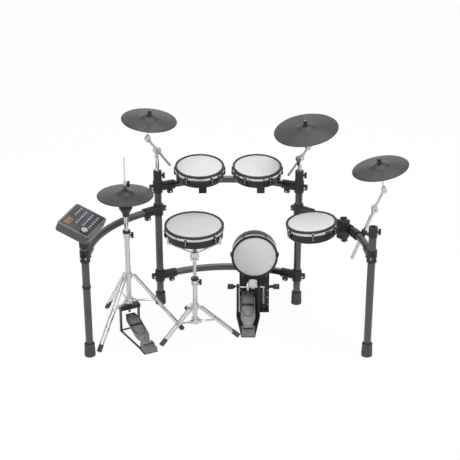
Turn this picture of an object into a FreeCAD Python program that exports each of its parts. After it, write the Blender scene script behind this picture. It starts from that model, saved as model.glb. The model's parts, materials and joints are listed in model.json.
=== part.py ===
import FreeCAD, Part
import math
import os

import Sketcher
from FreeCAD import Placement, Rotation, Vector

DOC = FreeCAD.newDocument("DrumKit")
SHEET = DOC.addObject("Spreadsheet::Sheet", "Sizes")

# Every size of the kit in millimetres or degrees. Plan positions are measured
# from the rack's centre line and from the line through its two front legs.
SIZES = {
    "frame_shift_x": 34.79, "frame_shift_y": 315.8,
    # rack tubes
    "tube_d": 40, "tube_wall": 2, "fit": 0.05, "post_half": 389, "post_top": 821,
    "left_leg_top": 690, "right_leg_top": 754, "upper_z": 727, "arm_z": 590, "lower_z": 180,
    "bar_angle": 24, "bar_straight": 105, "arm_heading": 54, "arm_turn": 46.355,
    "arm_rear": 98, "arm_bend": 634.02, "arm_front": 98,
    # rack clamps, collars and feet
    "sleeve_d": 54, "sleeve_rise": 66, "socket_d": 52, "socket_reach": 95, "socket_stop": 25,
    "ear_long": 26, "ear_wide": 22, "ear_high": 28, "ear_slit": 3, "bolt_d": 6, "bolt_hole": 6.4,
    "bolt_long": 34, "bolt_head_d": 13, "bolt_head": 5,
    "collar_d": 47, "collar_rise": 55, "collar_lip": 10, "boom_bore": 22.4,
    "ring_d": 46, "ring_rise": 14, "ring_z": 404,
    "cup_d": 60, "cup_top_d": 55, "cup_rise": 75, "cup_floor": 10,
    "wing_span": 34, "wing_high": 14, "wing_thick": 5, "wing_hub_d": 11, "wing_hub": 14,
    # drum pads
    "tom_d": 270, "snare_d": 316, "kick_d": 261, "tom_depth": 66, "snare_depth": 66, "kick_depth": 86,
    "hoop_wide": 12, "hoop_high": 18, "hoop_up": 5, "band_wide": 6, "band_high": 8,
    "shell_wall": 5, "shell_floor": 4, "head_thick": 1.2, "bead_high": 9,
    "lug_wide": 13, "lug_deep": 8, "lug_high": 24, "rod_d": 5, "cone_d": 34, "cone_high": 22,
    "jack_wide": 42, "jack_deep": 36, "jack_high": 40, "jack_x": 18, "jack_back": 38,
    "tom_y": 560, "tom_x": 157, "tom_z": 858, "tom_tilt": 6.2,
    "floor_x": 436, "floor_y": 215, "floor_z": 682, "floor_tilt": 5, "floor_clamp_y": 335,
    "snare_x": -182, "snare_y": 260, "snare_z": 644, "snare_tilt": 2.4,
    "kick_x": 146, "kick_y": 500, "kick_z": 336,
    # tilting hinges shared by pads, module and cymbals
    "knuckle_d": 20, "knuckle_long": 30, "pin_d": 8, "pin_gap": 0.05, "ear_gap": 0.4, "yoke_thick": 7,
    # cymbals and booms
    "crash_d": 300, "ride_d": 350, "cymbal_thick": 5, "bell_d": 100, "bell_high": 15, "bow_high": 14,
    "cymbal_hole": 14, "stem_d": 8, "stem_over": 34, "seat_high": 7, "seat_d": 32, "seat_top_d": 13,
    "seat_drop": 10, "seat_gap": 0.25,
    "washer_d": 38, "washer_thick": 3, "disc_d": 38, "disc_thick": 15, "disc_gap": 0.4,
    "boom_d": 22.2, "boom_rod_d": 13.6, "arm_tube_d": 19, "arm_rod_d": 13.6, "boom_wall": 1.6,
    "boom_neck": 46, "tail_room": 34, "boom_tuck": 150, "arm_tube_long": 311, "swing_gap": 1,
    "crash_left_z": 941, "crash_left_x_run": -50, "crash_left_y_run": -38, "crash_left_z_run": 83,
    "ride_z": 894, "ride_x_run": 39, "ride_y_run": -32, "ride_z_run": 77, "crash_right_y": 262,
    "crash_right_z": 736, "crash_right_x_run": 46, "crash_right_z_run": 105,
    "arm_tube_side": 38, "arm_tube_lean": 20.3,
    "tip_knuckle_d": 30, "tip_knuckle": 14, "tip_ear": 5, "tip_pin_d": 6,
    "crash_stem": 137, "ride_stem": 132, "crash_right_stem": 155,
    # hi-hat
    "hat_x": -543, "hat_y": 279, "hat_turn": 26.7, "hat_base_d": 28.6, "hat_base_top": 589,
    "hat_base_low": 142, "hat_upper_d": 22.2, "hat_upper_top": 699, "hat_rod_d": 6, "hat_rod_top": 1024,
    "hat_seat_z": 834, "hat_leg_z": 336, "hat_leg_reach": 283, "hat_brace_z": 184,
    "hat_lift": 28, "cone_low_d": 34, "cone_top_d": 73, "cone_rise": 52,
    # snare stand
    "stand_base_d": 25.4, "stand_base_top": 312, "stand_base_low": 45, "stand_upper_d": 19.05,
    "stand_leg_z": 150, "stand_leg_reach": 240, "stand_brace_z": 62,
    "stand_leg_free": 197.6, "stand_leg_swing": 148.4,
    "leg_strip": 13, "leg_thick": 4, "leg_gap": 20, "tip_d": 27, "tip_long": 42,
    "tripod_collar_d": 44, "tripod_collar": 30, "leg_root": 32, "leg_foot_z": 11, "stand_wall": 1.6,
    "lock_d": 40, "lock_low": 26, "lock_top": 14, "basket_drop": 190, "basket_rise": 20, "basket_hub_d": 48,
    "basket_arm_d": 10, "grip_wide": 16, "grip_thick": 8, "grip_high": 34,
    # pedals
    "heel_wide": 72, "heel_long": 52, "board_wide": 80, "board_thick": 5, "barrel_d": 13,
    "barrel_long": 56, "board_pin_d": 6, "base_thick": 5, "upright_wide": 14, "upright_deep": 26,
    "kick_heel_x": 108, "kick_heel_y": 186, "kick_hinge": 60, "kick_hinge_z": 30, "kick_board": 246,
    "kick_slope": 24.7, "axle_y": 254, "axle_z": 178, "axle_d": 10, "cam_d": 56, "cam_thick": 12,
    "beater_long": 132, "beater_rest": 50, "beater_d": 46, "beater_deep": 40, "beater_x": 27,
    "hat_hinge": 232, "hat_hinge_z": 30, "hat_board": 238, "hat_slope": 17.5,
    "tower_wide": 168, "tower_deep": 62, "tower_top": 262, "tower_base": 8,
    "tower_wall": 6, "tower_room": 184,
    "spring_d": 12, "spring_wire": 1.3, "spring_long": 80, "spring_curls": 18,
    # sound module
    "module_wide": 246, "module_deep": 178, "module_thick": 45, "module_tilt": 21.6,
    "module_yaw": 72.6, "module_hinge_z": 719, "module_reach": 29, "module_wall": 3, "module_rise": 20,
    "screen_wide": 66, "screen_deep": 30, "key_wide": 14, "key_deep": 7, "dial_d": 38, "dial_high": 16,
}

for row, (alias, value) in enumerate(SIZES.items(), start=1):
    SHEET.set(f"A{row}", alias.replace("_", " "))
    SHEET.set(f"B{row}", str(value))
    SHEET.setAlias(f"B{row}", alias)
DOC.recompute()


class Dim:
    """A size that keeps its spreadsheet expression beside its value."""

    def __init__(self, text, value):
        self.text = text
        self.value = float(value)

    def __float__(self):
        return self.value

    def _join(self, sign, other, value):
        return Dim(f"({self.text} {sign} {other.text})", value)

    def __add__(self, other):
        other = dim(other)
        return self._join("+", other, self.value + other.value)

    def __sub__(self, other):
        other = dim(other)
        return self._join("-", other, self.value - other.value)

    def __mul__(self, other):
        other = dim(other)
        return self._join("*", other, self.value * other.value)

    def __truediv__(self, other):
        other = dim(other)
        return self._join("/", other, self.value / other.value)

    def __neg__(self):
        return Dim(f"(-1 * {self.text})", -self.value)

    __radd__ = __add__

    def __rsub__(self, other):
        return dim(other) - self


def dim(value):
    """Wrap a plain number as a size."""
    return value if isinstance(value, Dim) else Dim(repr(float(value)), value)


class Sizes:
    """Reads the spreadsheet's cells as sizes by their alias."""

    def __getattr__(self, alias):
        return Dim(f"Sizes.{alias}", SHEET.get(alias))


S = Sizes()


def bind(feature, prop, size):
    """Set a property and keep it tied to the spreadsheet."""
    size = dim(size)
    setattr(feature, prop, size.value)
    feature.setExpression(prop, size.text)


def vec(*xyz):
    return Vector(*[float(value) for value in xyz])


def spot(x, y, z, turn=None):
    """A placement in a local frame."""
    return Placement(vec(x, y, z), turn or Rotation())


def about(axis, angle):
    return Rotation(Vector(*axis), float(angle))


def facing(axis, side=None):
    """A turn whose Z runs along axis and whose X stays near side."""
    z_axis = Vector(*axis).normalize()
    if side is None:
        return Rotation(Vector(0, 0, 1), z_axis)
    return Rotation(Vector(*side), Vector(), z_axis, "ZXY")


def in_frame(x, y, z, turn=None):
    """A placement in the kit's frame from a position in the rack's plan."""
    return spot(float(x) - S.frame_shift_x.value, float(y) - S.frame_shift_y.value, z, turn)


def cylinder(name, radius, height, at=None):
    feature = DOC.addObject("Part::Cylinder", name)
    bind(feature, "Radius", radius)
    bind(feature, "Height", height)
    feature.Placement = at or Placement()
    return feature


def block(name, size, middle, turn=None):
    """A box round a middle point."""
    feature = DOC.addObject("Part::Box", name)
    turn = turn or Rotation()
    for prop, value in zip(("Length", "Width", "Height"), size):
        bind(feature, prop, value)
    corner = turn.multVec(vec(*[float(value) / 2 for value in size]))
    feature.Placement = Placement(vec(*middle) - corner, turn)
    return feature


def cone(name, low, top, height, at=None):
    feature = DOC.addObject("Part::Cone", name)
    bind(feature, "Radius1", low)
    bind(feature, "Radius2", top)
    bind(feature, "Height", height)
    feature.Placement = at or Placement()
    return feature


def fuse(name, *parts):
    feature = DOC.addObject("Part::MultiFuse", name)
    feature.Shapes = list(parts)
    return feature


def cut(name, base, *tools):
    feature = DOC.addObject("Part::Cut", name)
    feature.Base = base
    feature.Tool = tools[0] if len(tools) == 1 else fuse(f"{name}_space", *tools)
    return feature


def tube(name, outer, inner, height, at=None):
    """A hollow cylinder from two radii."""
    hollow = cut(name, cylinder(f"{name}_wall", outer, height), cylinder(f"{name}_bore", inner, height))
    hollow.Placement = at or Placement()
    return hollow


def copy(part, at):
    """A linked repeat of a piece at another placement."""
    link = DOC.addObject("App::Link", f"{part.Name}_copy")
    link.LinkedObject = part
    link.Placement = at
    return link


def group(name, *parts):
    feature = DOC.addObject("Part::Compound", name)
    feature.Links = list(parts)
    return feature


NODES = []


def node(label, parts, at=None):
    """A named sub-part of the kit, put in its place in the frame."""
    feature = group(f"node_{label}", *parts)
    for piece in DOC.getObjectsByLabel(label):
        piece.Label = f"{label}_piece"
    feature.Label = label
    feature.Placement = at or Placement()
    NODES.append(feature)
    return feature


def plane(body, role):
    return next(feature for feature in body.Origin.OriginFeatures if feature.Role == role)


def sketch_on(body, role, name):
    sketch = body.newObject("Sketcher::SketchObject", name)
    sketch.AttachmentSupport = [(plane(body, role), "")]
    sketch.MapMode = "FlatFace"
    return sketch


def constrain(sketch, kind, *args):
    """Add a dimension whose last argument is its size."""
    size = dim(args[-1])
    scale = math.radians(1) if kind == "Angle" else 1
    index = sketch.addConstraint(Sketcher.Constraint(kind, *args[:-1], size.value * scale))
    sketch.setExpression(f"Constraints[{index}]", f"{size.text} * 1 deg" if kind == "Angle" else size.text)


def outline(sketch, points):
    """A closed outline whose corners sit at sizes from the sketch's origin."""
    count = len(points)
    for index, (x, y) in enumerate(points):
        following = points[(index + 1) % count]
        sketch.addGeometry(Part.LineSegment(vec(x, y, 0), vec(*following, 0)), False)
    for index in range(count):
        sketch.addConstraint(Sketcher.Constraint("Coincident", index, 2, (index + 1) % count, 1))
    for index, (x, y) in enumerate(points):
        constrain(sketch, "DistanceX", -1, 1, index, 1, x)
        constrain(sketch, "DistanceY", -1, 1, index, 1, y)


def turned(name, points, at=None):
    """A piece of revolution about Z from radius and height pairs."""
    body = DOC.addObject("PartDesign::Body", name)
    sketch = sketch_on(body, "XZ_Plane", f"{name}_section")
    outline(sketch, points)
    turn = body.newObject("PartDesign::Revolution", f"{name}_turn")
    turn.Profile = sketch
    turn.ReferenceAxis = (sketch, ["V_Axis"])
    turn.Angle = 360
    body.Placement = at or Placement()
    return body


def plate(name, points, thick, at=None):
    """A flat piece from its outline, rising along Z."""
    body = DOC.addObject("PartDesign::Body", name)
    sketch = sketch_on(body, "XY_Plane", f"{name}_outline")
    outline(sketch, points)
    rise = body.newObject("PartDesign::Pad", f"{name}_rise")
    rise.Profile = sketch
    bind(rise, "Length", thick)
    body.Placement = at or Placement()
    return body


def bent_tube(name, first, bend, turn, last, radius, inner=None, at=None):
    """A tube that starts along X, bends to the left and runs straight on."""
    body = DOC.addObject("PartDesign::Body", name)
    path = sketch_on(body, "XY_Plane", f"{name}_path")
    angle = math.radians(float(turn))
    centre = vec(first, bend, 0)
    leave = vec(float(first) + float(bend) * math.sin(angle), float(bend) * (1 - math.cos(angle)), 0)
    end = leave + Vector(math.cos(angle), math.sin(angle), 0) * float(last)
    path.addGeometry(Part.LineSegment(Vector(), vec(first, 0, 0)), False)
    circle = Part.Circle(centre, Vector(0, 0, 1), float(bend))
    path.addGeometry(Part.ArcOfCircle(circle, -math.pi / 2, angle - math.pi / 2), False)
    path.addGeometry(Part.LineSegment(leave, end), False)
    path.addConstraint(Sketcher.Constraint("Coincident", 0, 1, -1, 1))
    path.addConstraint(Sketcher.Constraint("Horizontal", 0))
    path.addConstraint(Sketcher.Constraint("Tangent", 0, 2, 1, 1))
    path.addConstraint(Sketcher.Constraint("Tangent", 1, 2, 2, 1))
    constrain(path, "Distance", 0, first)
    constrain(path, "Radius", 1, bend)
    constrain(path, "Distance", 2, last)
    constrain(path, "Angle", 2, turn)
    section = sketch_on(body, "YZ_Plane", f"{name}_section")
    for index, size in enumerate([radius] if inner is None else [radius, inner]):
        section.addGeometry(Part.Circle(Vector(), Vector(0, 0, 1), float(size)), False)
        section.addConstraint(Sketcher.Constraint("Coincident", index, 3, -1, 1))
        constrain(section, "Radius", index, size)
    pipe = body.newObject("PartDesign::AdditivePipe", f"{name}_pipe")
    pipe.Profile = section
    pipe.Spine = (path, ["Edge1", "Edge2", "Edge3"])
    body.Placement = at or Placement()
    return body


# The rack: tubes, bars, clamps, collars and feet.
TUBE_R = S.tube_d / 2
TUBE_IN = TUBE_R - S.tube_wall
GRIP_R = TUBE_R + S.fit
ARM_ANGLE = 90 - float(S.arm_heading)
BEND = math.radians(float(S.arm_turn))
ARM_X = float(S.arm_rear) + float(S.arm_bend) * math.sin(BEND) + float(S.arm_front) * math.cos(BEND)
ARM_Y = float(S.arm_bend) * (1 - math.cos(BEND)) + float(S.arm_front) * math.sin(BEND)
LEG_STEP = about((0, 0, 1), -ARM_ANGLE).multVec(Vector(ARM_X, -ARM_Y, 0))
POST_Y = -LEG_STEP.y
LEG_X = float(S.post_half) + LEG_STEP.x
REAR_SPOTS = [(-float(S.post_half), POST_Y), (float(S.post_half), POST_Y)]
FRONT_SPOTS = [(-LEG_X, 0.0), (LEG_X, 0.0)]
BAR_SLOPE = math.radians(float(S.bar_angle))
BAR_TEXT = "({0} - {1} * cos({2} * 1 deg)) / sin({2} * 1 deg)"
BAR_RADIUS = Dim(BAR_TEXT.format("Sizes.post_half", "Sizes.bar_straight", "Sizes.bar_angle"),
                 (float(S.post_half) - float(S.bar_straight) * math.cos(BAR_SLOPE)) / math.sin(BAR_SLOPE))
# The right arm's heading past its bend, and the headings of every clamp's socket.
ARM_FRONT_HEADING = -ARM_ANGLE - float(S.arm_turn)
BAR_HEADING = S.bar_angle.value
CLAMPS = [(*REAR_SPOTS[0], S.upper_z, BAR_HEADING), (*REAR_SPOTS[1], S.upper_z, 180 - BAR_HEADING),
          (*REAR_SPOTS[0], S.lower_z, BAR_HEADING), (*REAR_SPOTS[1], S.lower_z, 180 - BAR_HEADING),
          (*REAR_SPOTS[0], S.arm_z, 180 + ARM_ANGLE), (*REAR_SPOTS[1], S.arm_z, -ARM_ANGLE),
          (*FRONT_SPOTS[0], S.arm_z, -ARM_FRONT_HEADING),
          (*FRONT_SPOTS[1], S.arm_z, ARM_FRONT_HEADING + 180)]


def wing_bolt(name):
    """A wing bolt along X whose hub starts at the origin."""
    hub = cylinder(f"{name}_hub", S.wing_hub_d / 2, S.wing_hub, spot(0, 0, 0, facing((1, 0, 0))))
    wings = block(f"{name}_wings", (S.wing_high, S.wing_thick, S.wing_span), (S.wing_hub - 2, 0, 0))
    return fuse(name, hub, wings)


def tee_clamp():
    """A clamp round an upright tube with a socket along X for a bar."""
    sleeve = cylinder("tee_sleeve", S.sleeve_d / 2, S.sleeve_rise, spot(0, 0, -S.sleeve_rise / 2))
    socket = cylinder("tee_socket", S.socket_d / 2, S.socket_reach, spot(0, 0, 0, facing((1, 0, 0))))
    ear_middle = S.sleeve_d / 2 + S.ear_long / 2 - 6
    rear_ear = block("tee_rear_ear", (S.ear_long, S.ear_wide, S.ear_high), (-ear_middle, 0, 0))
    low_ear = block("tee_low_ear", (S.ear_high, S.ear_wide, S.ear_long),
                    (S.socket_reach - 24, 0, -ear_middle))
    solid = fuse("tee_solid", sleeve, socket, rear_ear, low_ear)
    post_bore = cylinder("tee_post_bore", GRIP_R, S.sleeve_rise, spot(0, 0, -S.sleeve_rise / 2))
    bar_bore = cylinder("tee_bar_bore", GRIP_R, S.socket_reach, spot(S.socket_stop, 0, 0, facing((1, 0, 0))))
    rear_slit = block("tee_rear_slit", (S.ear_long + 8, S.ear_slit, S.sleeve_rise), (-ear_middle, 0, 0))
    low_slit = block("tee_low_slit", (S.socket_reach - 40, S.ear_slit, S.ear_long + 8),
                     (S.socket_reach - 27, 0, -ear_middle))
    holes = [cylinder("tee_hole", S.bolt_hole / 2, S.ear_wide, at) for at in bolt_spots(S.ear_wide)]
    return cut("tee_clamp", solid, post_bore, bar_bore, rear_slit, low_slit, *holes)


def bolt_spots(length):
    """Where a clamp's two bolts run through its ears, along Y."""
    out = float(S.sleeve_d / 2 + S.ear_long / 2 - 3)
    start = -float(length) / 2
    along = facing((0, 1, 0))
    return [spot(-out, start, 0, along), spot(S.socket_reach - 24, start, -out, along)]


def clamp_bolt():
    """A bolt along Z with a round head and a nut beyond the ears."""
    shank = cylinder("clamp_shank", S.bolt_d / 2, S.bolt_long)
    head_z = (S.bolt_long - S.ear_wide) / 2 - S.bolt_head
    nut_z = (S.bolt_long + S.ear_wide) / 2
    head = cylinder("clamp_head", S.bolt_head_d / 2, S.bolt_head, spot(0, 0, head_z))
    nut = cylinder("clamp_nut", S.bolt_head_d / 2, S.bolt_head, spot(0, 0, nut_z))
    return fuse("clamp_bolt", shank, head, nut)


POST = tube("rear_post", TUBE_R, TUBE_IN, S.post_top - S.collar_lip - S.cup_floor)
node("rear_posts", [copy(POST, in_frame(x, y, S.cup_floor)) for x, y in REAR_SPOTS])
LEFT_LEG = tube("left_leg", TUBE_R, TUBE_IN, S.left_leg_top - S.cup_floor)
RIGHT_LEG = tube("right_leg", TUBE_R, TUBE_IN, S.right_leg_top - S.collar_lip - S.cup_floor)
node("front_legs", [copy(leg, in_frame(x, y, S.cup_floor))
                    for leg, (x, y) in zip((LEFT_LEG, RIGHT_LEG), FRONT_SPOTS)])

BAR = bent_tube("crossbar", S.bar_straight - S.socket_stop, BAR_RADIUS, S.bar_angle * 2,
                S.bar_straight - S.socket_stop, TUBE_R, TUBE_IN)
ARM = bent_tube("side_arm", S.arm_rear - S.socket_stop, S.arm_bend, S.arm_turn,
                S.arm_front - S.socket_stop, TUBE_R, TUBE_IN)
FLIP = about((1, 0, 0), 180)


def from_post(side, z, heading, flip):
    """Where a bar starts, one socket stop away from a rear post."""
    x, y = REAR_SPOTS[side]
    turn = about((0, 0, 1), heading)
    start = turn.multVec(vec(S.socket_stop, 0, 0))
    return in_frame(x + start.x, y + start.y, z, turn.multiply(FLIP) if flip else turn)


node("rack_bars", [copy(BAR, from_post(0, S.upper_z, S.bar_angle, True)),
                   copy(BAR, from_post(0, S.lower_z, S.bar_angle, True)),
                   copy(ARM, from_post(0, S.arm_z, 180 + ARM_ANGLE, False)),
                   copy(ARM, from_post(1, S.arm_z, -ARM_ANGLE, True))])

TEE = tee_clamp()
BOLT = clamp_bolt()
CLAMP_SPOTS = [in_frame(x, y, z, about((0, 0, 1), heading)) for x, y, z, heading in CLAMPS]
node("rack_clamps", [copy(TEE, at) for at in CLAMP_SPOTS])
CLAMP_BOLTS = [copy(BOLT, at.multiply(hole)) for at in CLAMP_SPOTS for hole in bolt_spots(S.bolt_long)]

COLLAR_BODY = turned("collar_body", [
    (S.boom_bore / 2, dim(0)), (S.collar_d / 2, dim(0)), (S.collar_d / 2, -S.collar_rise),
    (GRIP_R, -S.collar_rise), (GRIP_R, -S.collar_lip), (TUBE_IN - S.fit, -S.collar_lip),
    (TUBE_IN - S.fit, -S.collar_rise), (S.boom_bore / 2, -S.collar_rise)])
COLLAR_SCREW_Z = -S.collar_rise / 2
COLLAR = cut("collar", COLLAR_BODY,
             cylinder("collar_seat", S.wing_hub_d / 2 + S.fit, S.collar_d,
                      spot(S.collar_d / 2 - 2, 0, COLLAR_SCREW_Z, facing((1, 0, 0)))))
RING = tube("leg_ring", S.ring_d / 2, GRIP_R, S.ring_rise)
WING = wing_bolt("collar_wing")
COLLAR_SPOTS = [in_frame(*REAR_SPOTS[0], S.post_top), in_frame(*REAR_SPOTS[1], S.post_top),
                in_frame(*FRONT_SPOTS[1], S.right_leg_top)]
LEG_RING = copy(RING, in_frame(*FRONT_SPOTS[0], S.ring_z))
node("leg_collars", [copy(COLLAR, at) for at in COLLAR_SPOTS] + [LEG_RING])
COLLAR_BOLTS = [copy(WING, at.multiply(spot(S.collar_d / 2 - 2, 0, COLLAR_SCREW_Z))) for at in COLLAR_SPOTS]
node("clamp_bolts", CLAMP_BOLTS + COLLAR_BOLTS)

CUP = turned("leg_cup", [
    (dim(0), dim(0)), (S.cup_d / 2, dim(0)), (S.cup_top_d / 2, S.cup_rise), (GRIP_R, S.cup_rise),
    (GRIP_R, S.cup_floor), (dim(0), S.cup_floor)])


# Drum pads. A pad's frame has its origin in the middle of the head, with Z out of the head.
def drum_pad(name, diameter, depth, lug_turn):
    """A pad's shell, head and rim pieces."""
    outer = diameter / 2
    hoop_in = outer - S.hoop_wide
    edge = hoop_in - 3
    hoop_low = S.hoop_up - S.hoop_high
    ledge = hoop_low - S.band_high
    skirt = outer - 4
    inside = edge - S.shell_wall
    floor_top = S.shell_floor - depth
    shell = turned(f"{name}_shell", [
        (dim(0), -depth), (skirt - 4, -depth), (skirt, 4 - depth), (skirt, ledge), (edge, ledge),
        (edge, -S.head_thick), (inside, -S.head_thick), (inside, ledge - S.shell_wall),
        (skirt - S.shell_wall, ledge - S.shell_wall), (skirt - S.shell_wall, floor_top), (dim(0), floor_top)])
    cone_low = -S.head_thick - S.cone_high - 0.1
    pillar = cylinder(f"{name}_pillar", S.cone_d / 2, cone_low - floor_top, spot(0, 0, floor_top))
    sensor = cone(f"{name}_sensor", S.cone_d / 2, S.cone_d / 4, S.cone_high, spot(0, 0, cone_low))
    head = turned(f"{name}_head", [
        (dim(0), -S.head_thick), (edge + S.fit, -S.head_thick), (edge + S.fit, -S.bead_high),
        (hoop_in - S.fit, -S.bead_high), (hoop_in - S.fit, dim(0)), (dim(0), dim(0))])
    hoop = turned(f"{name}_hoop", [
        (hoop_in, hoop_low), (outer, hoop_low), (outer, S.hoop_up - 4), (outer - 4, S.hoop_up),
        (hoop_in + 3, S.hoop_up), (hoop_in, S.hoop_up - 3)])
    band_out = outer - 1
    band = tube(f"{name}_band", band_out, band_out - S.band_wide, S.band_high, spot(0, 0, ledge))
    lug = drum_lug(name, outer, skirt, band_out, ledge)
    lugs = [copy(lug, spot(0, 0, 0, about((0, 0, 1), lug_turn + 60 * index))) for index in range(6)]
    return {"shell": [shell, pillar, sensor], "head": [head], "rim": [hoop, band, *lugs]}


def drum_lug(name, outer, skirt, band_out, ledge):
    """A lug on the shell, its tension rod and the claw on the band."""
    foot = skirt - 4
    low = block(f"{name}_lug_block", (S.lug_deep + 6, S.lug_wide, S.lug_high),
                (foot + (S.lug_deep + 6) / 2, 0, ledge - 6 - S.lug_high / 2))
    low = cut(f"{name}_lug", low, cylinder(f"{name}_lug_seat", skirt, S.lug_high * 2,
                                           spot(0, 0, ledge - 6 - S.lug_high * 1.5)))
    claw = block(f"{name}_claw_block", (S.lug_deep + 3, S.lug_wide, S.band_high),
                 (foot + 2 + (S.lug_deep + 3) / 2, 0, ledge + S.band_high / 2))
    claw = cut(f"{name}_claw", claw, cylinder(f"{name}_claw_seat", band_out, S.band_high, spot(0, 0, ledge)))
    rod = cylinder(f"{name}_rod", S.rod_d / 2, S.band_high + 8, spot(outer + 2.6, 0, ledge - 7))
    return fuse(f"{name}_fixing", low, claw, rod)


# A tilting hinge has its pin along X. The knuckle moves with the piece above it.
def knuckle(name, rise, wide):
    """A knuckle whose block reaches up by rise to the piece that it carries."""
    barrel = cylinder(f"{name}_barrel", S.knuckle_d / 2, S.knuckle_long,
                      spot(-S.knuckle_long / 2, 0, 0, facing((1, 0, 0))))
    web = block(f"{name}_web", (S.knuckle_long, S.knuckle_d - 4, rise), (0, 0, rise / 2))
    pad = block(f"{name}_pad", (S.knuckle_long, wide, 3), (0, 0, rise - 1.5))
    hole = cylinder(f"{name}_hole", S.pin_d / 2 + S.pin_gap, S.knuckle_long,
                    spot(-S.knuckle_long / 2, 0, 0, facing((1, 0, 0))))
    return cut(name, fuse(f"{name}_solid", barrel, web, pad), hole)


def yoke(name, at):
    """Two ears, the bridge below them and the pin through them."""
    ear_x = S.knuckle_long / 2 + S.ear_gap + S.yoke_thick / 2
    span = S.knuckle_long + S.ear_gap * 2 + S.yoke_thick * 2
    ears = [block(f"{name}_ear", (S.yoke_thick, S.knuckle_d, S.knuckle_d + 6), (ear_x * side, 0, -4))
            for side in (-1, 1)]
    bridge = block(f"{name}_bridge", (span, S.knuckle_d, 8), (0, 0, -S.knuckle_d / 2 - 7))
    pin = cylinder(f"{name}_pin", S.pin_d / 2, span + 10, spot(-span / 2 - 5, 0, 0, facing((1, 0, 0))))
    feature = fuse(name, *ears, bridge, pin)
    feature.Placement = at
    return feature


def rod_to(name, radius, start, end):
    """A round rod from one point to another."""
    run = end - start
    return cylinder(name, radius, run.Length, Placement(start, facing(run)))


TOM = drum_pad("tom", S.tom_d, S.tom_depth, 0)
TOM_RISE = 13
HINGE_BACK = 52
TOM_BRACKET = knuckle("tom_bracket", dim(TOM_RISE), S.knuckle_d + 20)
TOM["shell"].append(copy(TOM_BRACKET, spot(0, HINGE_BACK, -S.tom_depth - TOM_RISE)))
LEAN = about((1, 0, 0), S.tom_tilt)
TOM_SPOTS = {
    "tom_left": in_frame(-S.tom_x, S.tom_y, S.tom_z, LEAN),
    "tom_right": in_frame(S.tom_x, S.tom_y, S.tom_z, LEAN),
    "floor_tom": in_frame(S.floor_x, S.floor_y, S.floor_z,
                          about((0, 1, 0), -S.floor_tilt).multiply(about((0, 0, 1), -90))),
}
JACK_BOX = block("jack_box", (S.jack_wide, S.jack_deep, S.jack_high),
                 (S.jack_x, S.jack_back - S.tom_d / 2, -S.tom_depth - S.jack_high / 2 + 1))
RACK_SHELL = fuse("rack_tom_shell", copy(TOM["shell"][0], Placement()), JACK_BOX)
for tom_name, tom_at in TOM_SPOTS.items():
    for piece, parts in TOM.items():
        boxed = piece == "shell" and tom_name != "floor_tom"
        chosen = [RACK_SHELL, *parts[1:]] if boxed else parts
        node(f"{tom_name}_{piece}", [copy(part, part.Placement) for part in chosen], tom_at)

# The two rack toms hang from the upper bar, the floor tom from the right arm.
ARC_Y = POST_Y + float(S.bar_straight) * math.sin(BAR_SLOPE) - float(BAR_RADIUS) * math.cos(BAR_SLOPE)
SLEEVE_SWEEP = 4.0


def bar_sleeve(name, radius, angle):
    """A ring round the upper bar's bend, at an angle about the bend's middle."""
    ring = DOC.addObject("Part::Torus", name)
    bind(ring, "Radius1", BAR_RADIUS)
    bind(ring, "Radius2", radius)
    ring.Angle3 = SLEEVE_SWEEP
    ring.Placement = in_frame(0, ARC_Y, S.upper_z, about((0, 0, 1), angle - SLEEVE_SWEEP / 2))
    return ring


def hinge_of(at):
    """The point of a tom's hinge pin in the kit's frame."""
    return at.multVec(vec(0, HINGE_BACK, -S.tom_depth - TOM_RISE))


def tom_mount(name, angle):
    """A clamp on the upper bar with a stalk up to a tom's hinge."""
    pivot = hinge_of(TOM_SPOTS[name])
    foot = pivot - Vector(0, 0, float(S.knuckle_d) / 2 + 7)
    bar = in_frame(0, ARC_Y, S.upper_z).Base + about((0, 0, 1), angle).multVec(vec(BAR_RADIUS, 0, 0))
    stalk = rod_to(f"{name}_stalk", S.knuckle_d / 2 - 1, foot, bar)
    solid = fuse(f"{name}_clamp", yoke(f"{name}_yoke", Placement(pivot, Rotation())), stalk,
                 bar_sleeve(f"{name}_sleeve", S.sleeve_d / 2, angle))
    return cut(f"{name}_mount", solid, bar_sleeve(f"{name}_bore", GRIP_R, angle))


TOM_ANGLE = math.degrees(math.acos(float(S.tom_x) / float(BAR_RADIUS)))
REAR_RUN = about((0, 0, 1), -ARM_ANGLE).multVec(vec(S.arm_rear, -S.arm_bend, 0))
ARM_MIDDLE = in_frame(float(S.post_half) + REAR_RUN.x, POST_Y + REAR_RUN.y, S.arm_z).Base


def arm_angle(y):
    """The angle about the middle of the right arm's bend, at a distance behind the front legs."""
    return math.degrees(math.asin((float(y - S.frame_shift_y) - ARM_MIDDLE.y) / float(S.arm_bend)))


def arm_point(y):
    """The point on the right arm's bend at a distance behind the front legs."""
    return ARM_MIDDLE + about((0, 0, 1), arm_angle(y)).multVec(vec(S.arm_bend, 0, 0))


def arm_sleeve(name, radius, long, y):
    """A ring round the right arm's bend."""
    sweep = math.degrees(float(long) / float(S.arm_bend))
    ring = DOC.addObject("Part::Torus", name)
    bind(ring, "Radius1", S.arm_bend)
    bind(ring, "Radius2", radius)
    ring.Angle3 = sweep
    ring.Placement = Placement(ARM_MIDDLE, about((0, 0, 1), arm_angle(y) - sweep / 2))
    return ring


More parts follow.
